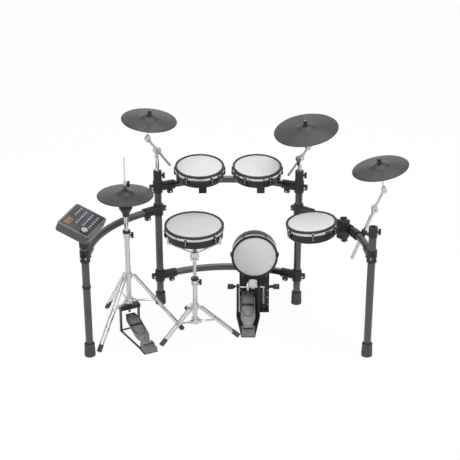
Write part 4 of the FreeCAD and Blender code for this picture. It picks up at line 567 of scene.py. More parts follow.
def smoothed(mesh: bpy.types.Mesh, crease: float = SHARP) -> bpy.types.Mesh:
    """Smooth a mesh but for its sharp edges.

    Args:
        mesh: The mesh.
        crease: Angle in degrees past which an edge stays sharp.

    Returns:
        The same mesh.
    """
    mesh.shade_smooth()
    mesh.set_sharp_from_angle(angle=math.radians(crease))
    return mesh


def arc(middle: Pair, radius: float, start: float, end: float, steps: int = 6) -> Profile:
    """Points of an arc in a profile, from one angle in degrees to another."""
    angles = [math.radians(start + (end - start) * step / steps) for step in range(steps + 1)]
    return [(middle[0] + radius * math.cos(a), middle[1] + radius * math.sin(a)) for a in angles]


def oblong(middle: Pair, wide: float, deep: float) -> Profile:
    """Corners of a rectangle with its middle and its half sizes."""
    return [(middle[0] + x * wide, middle[1] + y * deep) for x, y in ((-1, -1), (1, -1), (1, 1), (-1, 1))]


class Chart(Enum):
    """How a form's own map is laid out."""

    NONE = "none"
    PLANE = "plane"
    RING = "ring"


class Form:
    """A mesh in the making, in metres."""

    # Radius under which a profile's point lies on the axis
    ON_AXIS = 1e-6
    # Easing of a rod's ends, as a share of its radius
    ROD_EASE = 0.15
    # Least share of a ribbon's half width at a corner
    MITRE = 0.5

    def __init__(self) -> None:
        """Start with nothing."""
        self.mesh = bmesh.new()

    def lathe(self, profile: Profile, segments: int = 64, closed: bool = False,
              chart: Chart = Chart.NONE) -> "Form":
        """Turn a profile about Z.

        Args:
            profile: Radius and height pairs.
            segments: Steps round the axis.
            closed: Whether the last point joins the first.
            chart: How the map is laid out.

        Returns:
            This form.
        """
        angles = [2 * math.pi * step / segments for step in range(segments)]
        rings = []
        for radius, height in profile:
            places = [(0.0, 0.0, height)]
            if radius >= self.ON_AXIS:
                places = [(radius * math.cos(a), radius * math.sin(a), height) for a in angles]
            rings.append([self.mesh.verts.new(place) for place in places])
        for low, high in zip(rings, rings[1:] + rings[:1] if closed else rings[1:]):
            for step in range(segments):
                following = (step + 1) % segments
                corners = [low[step % len(low)], low[following % len(low)],
                           high[following % len(high)], high[step % len(high)]]
                self.mesh.faces.new(list(dict.fromkeys(corners)))
        bmesh.ops.recalc_face_normals(self.mesh, faces=self.mesh.faces)
        if chart is not Chart.NONE:
            flat = chart is Chart.PLANE
            self.map(lambda point: point.xy if flat else (math.atan2(point.y, point.x), point.xy.length))
        return self

    def map(self, rule: Callable[[Vector], Sequence[float]]) -> None:
        """Lay the form's own map out.

        Args:
            rule: Gives a place on the map for a point of the form.
        """
        layer = self.mesh.loops.layers.uv.verify()
        for face in self.mesh.faces:
            for loop in face.loops:
                loop[layer].uv = rule(loop.vert.co)

    def rounded(self, edges: Sequence[bmesh.types.BMEdge], radius: float, steps: int = 2,
                clamp: bool = False) -> None:
        """Round some edges with a few facets each, clamped if they are to shrink where edges are close."""
        bmesh.ops.bevel(self.mesh, geom=edges, offset=radius, segments=steps, profile=0.5, affect="EDGES",
                        clamp_overlap=clamp)

    def block(self, size: Sequence[float], middle: Sequence[float], edge: float, steps: int = 2) -> "Form":
        """Add a block with rounded edges.

        Args:
            size: Its three sizes.
            middle: Its middle.
            edge: Radius of its edges.
            steps: Facets of each edge.

        Returns:
            This form.
        """
        matrix = Matrix.Translation(Vector(middle)) @ Matrix.Diagonal((*size, 1.0))
        corners = bmesh.ops.create_cube(self.mesh, size=1.0, matrix=matrix)["verts"]
        self.rounded(list({e for v in corners for e in v.link_edges}), edge, steps)
        return self

    def slab(self, outline: Profile, low: float, high: float, edge: float = 0.0) -> "Form":
        """Add a flat piece from its outline.

        Args:
            outline: Corners in order.
            low: Height of the underside.
            high: Height of the top.
            edge: Radius of its edges.

        Returns:
            This form.
        """
        form = Form()
        base = form.mesh.faces.new([form.mesh.verts.new((x, y, low)) for x, y in outline])
        raised = bmesh.ops.extrude_face_region(form.mesh, geom=[base])["geom"]
        bmesh.ops.translate(form.mesh, vec=(0.0, 0.0, high - low),
                            verts=[v for v in raised if isinstance(v, bmesh.types.BMVert)])
        bmesh.ops.recalc_face_normals(form.mesh, faces=form.mesh.faces)
        if edge:
            form.rounded(list(form.mesh.edges), edge)
        return self.add(form)

    def ribbon(self, line: Profile, width: float, low: float, high: float, edge: float = 0.0) -> "Form":
        """Add a flat strip along a line of points.

        Args:
            line: Points of its middle line.
            width: Its width.
            low: Height of the underside.
            high: Height of the top.
            edge: Radius of its edges.

        Returns:
            This form.
        """
        points = [Vector(point) for point in line]
        sides: list[list[Pair]] = [[], []]
        for index, point in enumerate(points):
            before = (point - points[max(index - 1, 0)]).normalized()
            after = (points[min(index + 1, len(points) - 1)] - point).normalized()
            across = (before + after).normalized().orthogonal()
            share = across.dot((before if before.length else after).orthogonal())
            reach = width / 2 / max(self.MITRE, share)
            for side, sign in zip(sides, (1, -1)):
                side.append(tuple(point + across * reach * sign))
        return self.slab(sides[0] + sides[1][::-1], low, high, edge)

    def rod(self, start: Sequence[float], end: Sequence[float], radius: float, sides: int = 24) -> "Form":
        """Add a round rod with eased ends.

        Args:
            start: Middle of one end.
            end: Middle of the other end.
            radius: Its radius.
            sides: Facets round it.

        Returns:
            This form.
        """
        run = Vector(end) - Vector(start)
        ease = radius * self.ROD_EASE
        turned = Form().lathe([(0.0, 0.0), (radius - ease, 0.0), (radius, ease), (radius, run.length - ease),
                               (radius - ease, run.length), (0.0, run.length)], sides)
        turn = run.to_track_quat("Z", "Y").to_matrix().to_4x4()
        return self.add(turned, Matrix.Translation(Vector(start)) @ turn)

    def add(self, other: "Form", matrix: Optional[Matrix] = None) -> "Form":
        """Add another form, which is used up.

        Args:
            other: The other form.
            matrix: Where it goes.

        Returns:
            This form.
        """
        if matrix is not None:
            other.mesh.transform(matrix)
        store = bpy.data.meshes.new("store")
        other.mesh.to_mesh(store)
        other.mesh.free()
        self.mesh.from_mesh(store)
        bpy.data.meshes.remove(store)
        return self

    def moved(self, matrix: Matrix) -> "Form":
        """Put the form in its place."""
        self.mesh.transform(matrix)
        return self

    def made(self, name: str, crease: float = SHARP) -> bpy.types.Mesh:
        """The finished mesh.

        Args:
            name: Its name.
            crease: Angle in degrees past which an edge stays sharp.

        Returns:
            The mesh, smooth but for its sharp edges.
        """
        mesh = bpy.data.meshes.new(name)
        self.mesh.to_mesh(mesh)
        self.mesh.free()
        return smoothed(mesh, crease)


def hand_over(name: str, mesh: bpy.types.Mesh, finish: Finish, body: Optional[str],
              nodes: Iterable[str] = ()) -> bpy.types.Object:
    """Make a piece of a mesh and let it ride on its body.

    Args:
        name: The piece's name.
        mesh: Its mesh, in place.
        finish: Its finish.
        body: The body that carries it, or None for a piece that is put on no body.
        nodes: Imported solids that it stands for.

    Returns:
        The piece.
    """
    piece = set_out(name, mesh)
    mesh.materials.clear()
    mesh.materials.append(finish.material())
    if body:
        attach(piece, body)
    for node in nodes:
        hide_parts(node)
    LOG.info("%s rides on %s, %d faces", name, body or "two bodies", len(mesh.polygons))
    return piece


def hand_form(name: str, form: Form, place: Matrix, finish: Finish, body: str,
              nodes: Iterable[str] = ()) -> bpy.types.Object:
    """Put a form in its place and hand it over."""
    return hand_over(name, form.moved(place).made(name), finish, body, nodes)


class Growth(Nodes):
    """A Geometry Nodes tree with named inputs that ends in real mesh with its material."""

    def __init__(self, name: str, **kinds: str) -> None:
        """Start a tree.

        Args:
            name: The tree's name.
            kinds: Type of each input by its name, such as Float, Int, Object or Vector.
        """
        super().__init__(bpy.data.node_groups.new(name, "GeometryNodeTree"))
        face = self.tree.interface
        face.new_socket("Geometry", in_out="OUTPUT", socket_type="NodeSocketGeometry")
        self.keys = {key: face.new_socket(key, in_out="INPUT", socket_type=f"NodeSocket{kind}").identifier
                     for key, kind in {**kinds, "Finish": "Material"}.items()}
        entry = self.tree.nodes.new("NodeGroupInput")
        self.given = {key: Shade(self, entry.outputs[key]) for key in self.keys}

    def close(self, geometry: Shade) -> "Growth":
        """End the tree in real mesh with the input material.

        Args:
            geometry: What the tree has made.

        Returns:
            This tree.
        """
        real = self.add("GeometryNodeRealizeInstances", inputs={0: geometry})
        dressed = self.add("GeometryNodeSetMaterial",
                           inputs={"Geometry": real, "Material": self.given["Finish"]})
        self.add("NodeGroupOutput", inputs={0: dressed})
        return self

    def copies(self, points: Shade, **more: Shade) -> Shade:
        """The input part on every point, with other inputs of the node that sets the copies."""
        shape = self.add("GeometryNodeObjectInfo", inputs={"Object": self.given["Part"]}, output="Geometry")
        return self.add("GeometryNodeInstanceOnPoints", inputs={"Points": points, "Instance": shape, **more})

    def grow(self, name: str, **values: object) -> bpy.types.Mesh:
        """Run the tree.

        Args:
            name: The mesh's name.
            values: The tree's inputs by name.

        Returns:
            The plain mesh.
        """
        holder = set_out(name, bpy.data.meshes.new(f"{name}_seed"))
        modifier = holder.modifiers.new("growth", "NODES")
        modifier.node_group = self.tree
        for key, value in values.items():
            modifier[self.keys[key]] = value
        bpy.context.view_layer.update()
        mesh = bpy.data.meshes.new_from_object(holder.evaluated_get(bpy.context.evaluated_depsgraph_get()))
        mesh.name = name
        bpy.data.objects.remove(holder)
        return smoothed(mesh)

    def repeat(self, form: Form, finish: Finish, name: str, place: Matrix,
               **values: object) -> bpy.types.Mesh:
        """Run the tree on a form.

        Args:
            form: The form that it repeats, used up.
            finish: Its finish.
            name: The mesh's name.
            place: Where the copies go.
            values: The tree's other inputs by name.

        Returns:
            The mesh of all copies.
        """
        part = set_out(f"{name}_part", form.made(f"{name}_part"))
        mesh = self.grow(name, Part=part, Finish=finish.material(), **values)
        bpy.data.objects.remove(part)
        mesh.transform(place)
        return mesh


def ring_growth() -> Growth:
    """Lay out a tree that repeats a part round Z, its X pointing outwards.

    Returns:
        The tree.
    """
    growth = Growth("ring_of_parts", Part="Object", Count="Int", Radius="Float", Turn="Float")
    given = growth.given
    circle = growth.add("GeometryNodeMeshCircle",
                        inputs={"Vertices": given["Count"], "Radius": given["Radius"]})
    outward = growth.add("FunctionNodeAlignRotationToVector", {"axis": "X", "pivot_axis": "Z"},
                         {"Vector": growth.add("GeometryNodeInputPosition")})
    angle = growth.add("ShaderNodeCombineXYZ", inputs={"Z": given["Turn"]})
    copies = growth.copies(circle, Rotation=outward)
    return growth.close(growth.add("GeometryNodeTransform", inputs={"Geometry": copies, "Rotation": angle}))


def row_growth() -> Growth:
    """Lay out a tree that repeats a part along a line.

    Returns:
        The tree.
    """
    growth = Growth("row_of_parts", Part="Object", Count="Int", Step="Vector")
    given = growth.given
    line = growth.add("GeometryNodeMeshLine", inputs={"Count": given["Count"], "Offset": given["Step"]})
    return growth.close(growth.copies(line))


def coil_growth(sides: int = 10) -> Growth:
    """Lay out a tree that winds a wire into a coil along Z.

    Args:
        sides: Facets round the wire.

    Returns:
        The tree.
    """
    growth = Growth("coil_of_wire", Radius="Float", Wire="Float", Turns="Float", Height="Float", Steps="Int")
    given = growth.given
    line = growth.add("GeometryNodeCurveSpiral", inputs={
        "Resolution": given["Steps"], "Rotations": given["Turns"], "Start Radius": given["Radius"],
        "End Radius": given["Radius"], "Height": given["Height"]})
    section = growth.add("GeometryNodeCurvePrimitiveCircle",
                         inputs={"Resolution": sides, "Radius": given["Wire"]})
    return growth.close(growth.add("GeometryNodeCurveToMesh", inputs={
        "Curve": line, "Profile Curve": section, "Fill Caps": True}))


RING = ring_growth()
ROW = row_growth()
COIL = coil_growth()


Box = tuple[Vector, Vector]
Test = Callable[[Vector, Vector], bool]


def smaller(most: float) -> Test:
    """A test for solids whose box has a diagonal under a limit."""
    return lambda low, high: (high - low).length < most


def taller(least: float) -> Test:
    """A test for solids that are higher than a limit."""
    return lambda low, high: high.z - low.z > least


def lower(most: float) -> Test:
    """A test for solids that are less high than a limit."""
    return lambda low, high: high.z - low.z < most


def under(level: float) -> Test:
    """A test for solids that lie wholly under a level."""
    return lambda low, high: high.z < level


def above(place: Matrix, height: float) -> Test:
    """A test for solids whose middle is above a height in a frame."""
    inverse = place.inverted()
    return lambda low, high: (inverse @ ((low + high) / 2)).z > height


@dataclass(frozen=True)
class Region:
    """Solids of a node that take a finish of their own, or none where another piece stands for them."""

    suffix: str
    finish: Optional[Finish]
    holds: Test
    edge: Optional[float] = None


class PackedNode:
    """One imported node, dressed as rounded pieces that stand for it."""

    # Distance in metres within which corners are one
    MERGE = 2e-6
    # Degrees within which neighbouring faces are one
    FLAT = 0.6

    def __init__(self, name: str, finish: Finish, regions: Sequence[Region] = (),
                 edge: float = 0.0006) -> None:
        """Keep what the node is dressed with.

        Args:
            name: The node.
            finish: The finish of every solid that no region holds.
            regions: Finishes of some solids, the first that holds counts.
            edge: Size of the rounding on its edges.
        """
        self.name = name
        self.regions = [*regions, Region("body", finish, lambda low, high: True)]
        self.edge = edge
        self.source = frame["nodes"][name]
        self.body = self.source["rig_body"]

    def _open(self) -> bmesh.types.BMesh:
        """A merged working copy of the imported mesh.

        Returns:
            The copy.
        """
        mesh = bmesh.new()
        mesh.from_mesh(self.source.data)
        bmesh.ops.remove_doubles(mesh, verts=mesh.verts, dist=self.MERGE)
        return mesh

    @staticmethod
    def _islands(mesh: bmesh.types.BMesh) -> list[list[bmesh.types.BMFace]]:
        """Find the solids in a working mesh.

        Args:
            mesh: The working mesh.

        Returns:
            The faces of each solid.
        """
        found, seen = [], set()
        for face in mesh.faces:
            if face in seen:
                continue
            island, stack = [], [face]
            seen.add(face)
            while stack:
                current = stack.pop()
                island.append(current)
                fresh = [f for e in current.edges for f in e.link_faces if f not in seen]
                seen.update(fresh)
                stack.extend(fresh)
            found.append(island)
        return found

    @staticmethod
    def _box(island: Sequence[bmesh.types.BMFace]) -> Box:
        """The lowest and highest corners of a solid."""
        points = [v.co for f in island for v in f.verts]
        return tuple(Vector([pick(p[axis] for p in points) for axis in range(3)]) for pick in (min, max))

    def boxes(self) -> list[Box]:
        """Measure the node's solids.

        Returns:
            The box of each solid.
        """
        mesh = self._open()
        found = [self._box(island) for island in self._islands(mesh)]
        mesh.free()
        return found

    def dress(self) -> "PackedNode":
        """Round the node's edges and hand over one piece for each finish.

        Returns:
            This node.
        """
        mesh = self._open()
        groups: dict[int, list[bmesh.types.BMFace]] = {}
        for island in self._islands(mesh):
            low, high = self._box(island)
            index = next(i for i, region in enumerate(self.regions) if region.holds(low, high))
            groups.setdefault(index, []).extend(island)
        for index, faces in sorted(groups.items()):
            region = self.regions[index]
            if region.finish is None:
                continue
            edge = self.edge if region.edge is None else region.edge
            name = f"{self.name}_{region.suffix}"
            hand_over(name, self._rounded(faces, name, edge), region.finish, self.body, [self.name])
        mesh.free()
        return self

    def _rounded(self, faces: Sequence[bmesh.types.BMFace], name: str, edge: float) -> bpy.types.Mesh:
        """A mesh of some faces with its sharp edges rounded.

        Args:
            faces: Faces of a working mesh.
            name: The mesh's name.
            edge: Size of the rounding.

        Returns:
            The mesh.
        """
        part = Form()
        known: dict[bmesh.types.BMVert, bmesh.types.BMVert] = {}
        for face in faces:
            for corner in face.verts:
                if corner not in known:
                    known[corner] = part.mesh.verts.new(corner.co)
            part.mesh.faces.new([known[corner] for corner in face.verts])
        bmesh.ops.dissolve_limit(part.mesh, angle_limit=math.radians(self.FLAT), verts=part.mesh.verts,
                                 edges=part.mesh.edges)
        limit = math.radians(SHARP)
        sharp = [e for e in part.mesh.edges if len(e.link_faces) == 2 and e.calc_face_angle() > limit]
        if edge and sharp:
            part.rounded(sharp, edge, clamp=True)
        return part.made(name)


# Least lean towards the given way of a face that counts in finding a round node's axis
FACING = 0.3


def turned_frame(node: str, out: Point, along: Point) -> tuple[Matrix, float]:
    """The frame of a round node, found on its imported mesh.

    Args:
        node: The node.
        out: Roughly the way that its face looks.
        along: Roughly its first axis.

    Returns:
        A matrix with its origin on the axis at the node's top and Z along the axis, and the node's radius.
    """
    mesh = frame["nodes"][node].data
    facing = [face for face in mesh.polygons if face.normal.dot(Vector(out)) > FACING]
    axis = sum((face.normal * face.area for face in facing), Vector()).normalized()
    side = (Vector(along) - axis * axis.dot(Vector(along))).normalized()
    cross = axis.cross(side)
    points = [vertex.co for vertex in mesh.vertices]
    spans = [(min(p.dot(way) for p in points), max(p.dot(way) for p in points))
             for way in (side, cross, axis)]
    middle = side * sum(spans[0]) / 2 + cross * sum(spans[1]) / 2 + axis * spans[2][1]
    turn = Matrix((side, cross, axis)).transposed().to_4x4()
    return Matrix.Translation(middle) @ turn, (spans[0][1] - spans[0][0]) / 2


def joint_point(name: str) -> Vector:
    """The pivot of a joint."""
    return next(Vector(joint["pos_m"]) for joint in frame["joints"] if joint["name"] == name)


def spun(axis: str, degrees: float) -> Matrix:
    """A turn about one of the three axes."""
    return Matrix.Rotation(math.radians(degrees), 4, axis)


def shifted(offset: Sequence[float]) -> Matrix:
    """A shift."""
    return Matrix.Translation(Vector(offset))


def middle_of(low: Sequence[float], high: Sequence[float]) -> Vector:
    """The middle of a box."""
    return Vector([(a + b) / 2 for a, b in zip(low, high)])


ON_EDGE = spun("X", 90)


@dataclass
class Rack:
    tube_edge: float = 0.0008
    wing_least: float = 0.03
    wing_edge: float = 0.0016
    bolt_edge: float = 0.0012
    foot_edge: float = 0.0032
    cup_high: float = 0.075
    cup_least: float = 0.07125
    cup_foot: float = 0.03
    cup_top: float = 0.0275
    cup_bore: float = 0.0202
    cup_floor: float = 0.01
    cup_round: float = 0.003
    grooves: int = 4
    groove_first: float = 0.014
    groove_step: float = 0.006
    groove: Profile = ((0.0, 0.0), (-0.0008, 0.0007), (-0.0008, 0.0017), (0.0, 0.0024))
    lip_high: float = 0.012
    lip_rise: float = 0.001
    lip_out: float = 0.0006
    neck_in: float = 0.0002

    def build(self) -> None:
        """Dress the tubes and clamps and mould the cups."""
        for name in ("rear_posts", "front_legs", "rack_bars"):
            PackedNode(name, RACK_PAINT, edge=self.tube_edge).dress()
        for name, edge in (("rack_clamps", 0.0022), ("leg_collars", 0.0018), ("tom_mounts", 0.0016)):
            PackedNode(name, CLAMP_PLASTIC, edge=edge).dress()
        wings = Region("wings", CLAMP_PLASTIC, taller(self.wing_least), self.wing_edge)
        PackedNode("clamp_bolts", BOLT_STEEL, [wings], self.bolt_edge).dress()
        is_cup = taller(self.cup_least)
        feet = PackedNode("rubber_feet", FOOT_RUBBER, [Region("cups", None, is_cup)], self.foot_edge).dress()
        form = Form()
        for low, high in feet.boxes():
            if is_cup(low, high):
                spot = Vector((*middle_of(low, high).xy, low.z))
                form.add(Form().lathe(self._cup(), segments=72), shifted(spot))
        hand_over("leg_cups", form.made("leg_cups"), FOOT_RUBBER, feet.body, [feet.name])

    def _cup(self) -> Profile:
        """Draw half the section of a cup with its grooves and its lip.

        Returns:
            Radius and height pairs.
        """
        ease, top, lip = self.cup_round, self.cup_top, self.cup_high - self.lip_high
        outer = arc((self.cup_foot - ease, ease), ease, -90, 0, steps=4)
        for index in range(self.grooves):
            z = self.groove_first + index * self.groove_step
            radius = self.cup_foot - (self.cup_foot - top) * z / self.cup_high
            outer += [(radius + deep, z + rise) for deep, rise in self.groove]
        outer += [(top - self.neck_in, lip - self.lip_rise), (top + self.lip_out, lip)]
        outer += arc((top + self.lip_out - ease, self.cup_high - ease), ease, 0, 90, steps=4)
        return [(0.0, 0.0), *outer, (self.cup_bore, self.cup_high), (self.cup_bore, self.cup_floor),
                (0.0, self.cup_floor)]


@dataclass
class DrumPad:
    """A mesh pad with its shell, head, rubber hoop, chrome band and lugs. Z runs out of the head.

    The lug's and claw's outlines and the rods' ends have their heights from the band's lower edge.
    """

    name: str
    out: Point = UP
    along: Point = RIGHT
    lug_turn: float = 0.0
    lugs: int = 6
    mesh: Finish = DRUM_MESH
    shell_edge: float = 0.0014
    hoop_wide: float = 0.01205
    hoop_low: float = -0.0075
    hoop_top: float = 0.005
    hoop_foot: float = 0.0008
    hoop_line: Profile = ((0.0, -0.0034), (-0.0005, -0.003), (-0.0005, -0.0024), (0.0, -0.002))
    hoop_out: float = 0.004
    hoop_in: float = 0.003
    band_low: float = -0.021
    band_wide: float = 0.006
    band_in: float = 0.0002
    band_waist: float = 0.0008
    band_roll: float = 0.0014
    skirt_in: float = 0.004
    head_edge: float = 0.003
    head_flat: float = 0.6
    head_round: float = 0.0016
    bead: float = 0.009
    thick: float = 0.0012
    lug: Profile = ((-0.0002, -0.03), (0.0055, -0.03), (0.0092, -0.026), (0.01, -0.019), (0.01, -0.01),
                    (0.0082, -0.0065), (-0.0002, -0.006))
    lug_half: float = 0.0065
    lug_edge: float = 0.0012
    claw: Profile = ((0.003, -0.0004), (0.008, -0.0004), (0.0095, 0.002), (0.0095, 0.0105), (0.008, 0.0135),
                     (0.003, 0.0135))
    claw_half: float = 0.0052
    claw_edge: float = 0.0008
    rod: Profile = ((0.0066, -0.0075), (0.0066, 0.0152))
    rod_radius: float = 0.0025
    rod_head: Point = (0.0046, 0.0046, 0.0052)
    rod_head_at: Pair = (0.0068, 0.0178)
    rod_head_edge: float = 0.0006
    screw: Profile = ((0.0088, -0.018), (0.0106, -0.018))
    screw_radius: float = 0.0028

    def build(self) -> None:
        """Make and dress every piece of the pad."""
        self.place, head = turned_frame(f"{self.name}_head", self.out, self.along)
        self.radius = head + self.hoop_wide
        self.body = PackedNode(f"{self.name}_shell", SHELL_LACQUER, edge=self.shell_edge).dress().body
        self._head(head)
        rim = [f"{self.name}_rim"]
        for suffix, profile, finish in (("hoop", self._hoop(), HOOP_RUBBER), ("band", self._band(), CHROME)):
            ring = Form().lathe(profile, segments=128, closed=True)
            hand_form(f"{self.name}_{suffix}", ring, self.place, finish, self.body, rim)
        for suffix, form, finish in (("lugs", self._lug(), CLAMP_PLASTIC), ("rods", self._rod(), CHROME)):
            name = f"{self.name}_{suffix}"
            mesh = RING.repeat(form, finish, name, self.place, Count=self.lugs,
                               Radius=self.radius - self.skirt_in, Turn=math.radians(self.lug_turn))
            hand_over(name, mesh, finish, self.body, rim)

    def _head(self, radius: float) -> None:
        """Stretch the mesh over its flesh hoop.

        Args:
            radius: The head's radius.
        """
        inner, ease = radius - self.head_edge, self.head_round
        profile = [(0.0, 0.0), (radius * self.head_flat, 0.0),
                   *arc((radius - ease, -ease), ease, 90, 0, steps=4),
                   (radius, -self.bead), (inner, -self.bead), (inner, -self.thick), (0.0, -self.thick)]
        form = Form().lathe(profile, segments=96, chart=Chart.PLANE)
        piece = hand_form(f"{self.name}_mesh", form, self.place, self.mesh, self.body, [f"{self.name}_head"])
        cut = radius + self.bead
        2 * cut
        2 * cut
        math.pi * cut ** 2

    def _hoop(self) -> Profile:
        """The section of the rubber-covered hoop, with a parting line round its outside."""
        inner, outer, low, top = self.radius - self.hoop_wide, self.radius, self.hoop_low, self.hoop_top
        return [(inner, low), (outer - self.hoop_foot, low), (outer, low + self.hoop_foot),
                *[(outer + deep, height) for deep, height in self.hoop_line],
                *arc((outer - self.hoop_out, top - self.hoop_out), self.hoop_out, 0, 90),
                *arc((inner + self.hoop_in, top - self.hoop_in), self.hoop_in, 90, 180)]

    def _band(self) -> Profile:
        """The section of the rolled chrome band under the hoop."""
        outer, low, high, roll = self.radius - self.band_in, self.band_low, self.hoop_low, self.band_roll
        return [(outer - self.band_wide, low), *arc((outer - roll, low + roll), roll, -90, 0, steps=4),
                (outer - self.band_waist, (low + high) / 2),
                *arc((outer - roll, high - roll), roll, 0, 90, steps=4), (outer - self.band_wide, high)]

    def _raised(self, line: Profile) -> Profile:
        """A line with its heights counted from the band's lower edge."""
        return [(out, self.band_low + height) for out, height in line]

    def _lug(self) -> Form:
        """Mould a lug and the claw over it.

        Returns:
            The form, with X out of the shell.
        """
        form = Form().slab(self._raised(self.lug), -self.lug_half, self.lug_half, self.lug_edge)
        form.slab(self._raised(self.claw), -self.claw_half, self.claw_half, self.claw_edge)
        return form.moved(ON_EDGE)

    def _rod(self) -> Form:
        """Turn a tension rod with its square head and the screw under it.

        Returns:
            The form, with X out of the shell.
        """
        form = Form()
        line = self._raised((*self.rod, self.rod_head_at, *self.screw))
        ends = [(out, 0.0, height) for out, height in line]
        form.rod(ends[0], ends[1], self.rod_radius, sides=16)
        form.block(self.rod_head, ends[2], self.rod_head_edge)
        return form.rod(ends[3], ends[4], self.screw_radius, sides=16)


@dataclass
class CymbalPad:
    """A rubber cymbal. Its frame starts at the top of the bell's hole, with Z up through the hole."""

    name: str
    thick: float = 0.005
    hole: float = 0.007
    hole_ease: float = 0.0012
    hole_drop: float = 0.001
    bell: float = 0.053
    bell_high: float = 0.015
    bell_curve: float = 2.1
    bell_steps: int = 9
    bow_high: float = 0.014
    bow_curve: float = 1.2
    bow_steps: int = 12
    edge_in: float = 0.0035
    edge_out: float = 0.001
    edge_round: float = 0.0025
    edge_span: float = 80.0
    crease: float = 50.0

    def build(self) -> None:
        """Turn the pad and hand it over."""
        node = f"{self.name}_cymbal"
        self.place, self.radius = turned_frame(node, UP, RIGHT)
        name = f"{self.name}_pad"
        form = Form().lathe(self._section(), segments=128, closed=True, chart=Chart.RING)
        mesh = form.moved(self.place).made(name, self.crease)
        hand_over(name, mesh, CYMBAL, frame["nodes"][node]["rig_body"], [node])

    def _top(self, radius: float) -> float:
        """Find the height of the upper face.

        Args:
            radius: Distance from the axis.

        Returns:
            The height.
        """
        if radius < self.bell:
            share = (radius - self.hole) / (self.bell - self.hole)
            return -self.bell_high * share ** self.bell_curve
        share = (radius - self.bell) / (self.radius - self.bell)
        return -self.bell_high - self.bow_high * share ** self.bow_curve

    def _section(self) -> Profile:
        """Draw the section: bell, bow, a raised edge and the underside.

        Returns:
            Radius and height pairs.
        """
        first, last = self.hole + self.hole_ease, self.radius - self.edge_in
        steps = self.bow_steps
        line = [first + (self.bell - first) * step / self.bell_steps for step in range(self.bell_steps + 1)]
        line += [self.bell + (last - self.bell) * step / steps for step in range(1, steps + 1)]
        upper = [(radius, self._top(radius)) for radius in line]
        lower = [(radius, height - self.thick) for radius, height in reversed(upper)]
        edge = arc((last + self.edge_out, self._top(self.radius) - self.edge_round), self.edge_round,
                   self.edge_span, -self.edge_span)
        return [(self.hole, -self.hole_drop), *upper, *edge, *lower,
                (self.hole, self.hole_drop - self.thick)]


def knobs(most: float) -> Region:
    """The knobs of a node, which are its solids under a size."""
    return Region("knob", CLAMP_PLASTIC, smaller(most), edge=0.0016)


@dataclass(frozen=True)
class Felt:
    """A pressed felt disc with soft bulging sides."""

    bore: float
    radius: float
    low: float
    high: float
    ease: float = 0.0004
    lip: float = 0.0008

    def form(self) -> Form:
        """Press the disc.

        Returns:
            The form.
        """
        half = (self.high - self.low) / 2
        side = arc((self.radius - half, self.low + half), half, -90, 90, steps=10)
        return Form().lathe([(self.bore, self.low + self.ease), (self.bore + self.lip, self.low), *side,
                             (self.bore + self.lip, self.high), (self.bore, self.high - self.ease)],
                            segments=48, closed=True)


@dataclass
class BoomStand:
    """A cymbal on its boom: height tube, ratchet, boom, tilter, felt and wing nut.

    The tilter's solids are told apart by how high their middles are over the top of the cymbal.
    """

    name: str
    knob_most: float = 0.04
    nut_from: float = 0.009
    felt_from: float = 0.001
    seat_from: float = -0.013
    washer_from: float = -0.02
    felt: Felt = Felt(0.0041, 0.017, 0.0012, 0.0079)
    nut_cap: Profile = ((0.0, 0.0282), (0.006, 0.0282), (0.0086, 0.0266), (0.0096, 0.0225), (0.0096, 0.014),
                        (0.0, 0.014))

    def build(self) -> None:
        """Make and dress every piece."""
        pad = CymbalPad(self.name)
        pad.build()
        PackedNode(f"{self.name}_tube", CHROME, edge=0.001).dress()
        PackedNode(f"{self.name}_boom", BOOM_PLATING, [knobs(self.knob_most)], edge=0.001).dress()
        self._tilter(pad.place)

    def _tilter(self, place: Matrix) -> None:
        """Dress the tilter, press its upper felt and cap its nut.

        Args:
            place: The cymbal's frame.
        """
        regions = [Region("nut", CLAMP_PLASTIC, above(place, self.nut_from), edge=0.0018),
                   Region("felt", None, above(place, self.felt_from)),
                   Region("seat", FOOT_RUBBER, above(place, self.seat_from)),
                   Region("washer", CHROME, above(place, self.washer_from))]
        node = PackedNode(f"{self.name}_tilter", CHROME, regions, edge=0.0008).dress()
        hand_form(f"{self.name}_felt", self.felt.form(), place, DARK_FELT, node.body, [node.name])
        cap = Form().lathe(self.nut_cap, segments=40)
        hand_form(f"{self.name}_nut_cap", cap, place, CLAMP_PLASTIC, node.body)


@dataclass
class TripodStand:
    """A chrome tripod with its tubes, its height lock and the lock's ribbed black cap.

    The cap's side has its steps out from the cap's radius.
    """

    name: str
    upper: str
    knob_most: float = 0.045
    tube_least: float = 0.2
    cap_high: float = 0.013
    cap_over: float = 0.0004
    cap_radius: float = 0.0206
    cap_bore: float = 0.0118
    cap_rib: float = 0.001
    cap_round: float = 0.002
    cap_side: Profile = ((0.0, 0.0), (0.001, 0.001), (0.001, 0.004), (0.0, 0.005), (0.0, 0.008),
                         (0.001, 0.009))

    def build(self) -> None:
        """Dress the tubes, legs and braces and cover the height lock."""
        stand = PackedNode(self.name, CHROME, [knobs(self.knob_most)], edge=0.0009).dress()
        PackedNode(self.upper, CHROME, edge=0.0008).dress()
        boxes, is_tube = stand.boxes(), taller(self.tube_least)
        tube = min((box for box in boxes if is_tube(*box)), key=lambda box: box[1].x - box[0].x)
        spot = Vector((*middle_of(*tube).xy, max(high.z for _, high in boxes) - self.cap_high))
        cap = Form().lathe(self._cap(), segments=64, closed=True)
        hand_form(f"{self.name}_lock_cap", cap, shifted(spot), CLAMP_PLASTIC, stand.body)

    def _cap(self) -> Profile:
        """The section of the cap."""
        top, ease = self.cap_high + self.cap_over, self.cap_round
        return [(self.cap_bore, 0.0), *[(self.cap_radius + out, height) for out, height in self.cap_side],
                *arc((self.cap_radius + self.cap_rib - ease, top - ease), ease, 0, 90, steps=4),
                (self.cap_bore, top)]


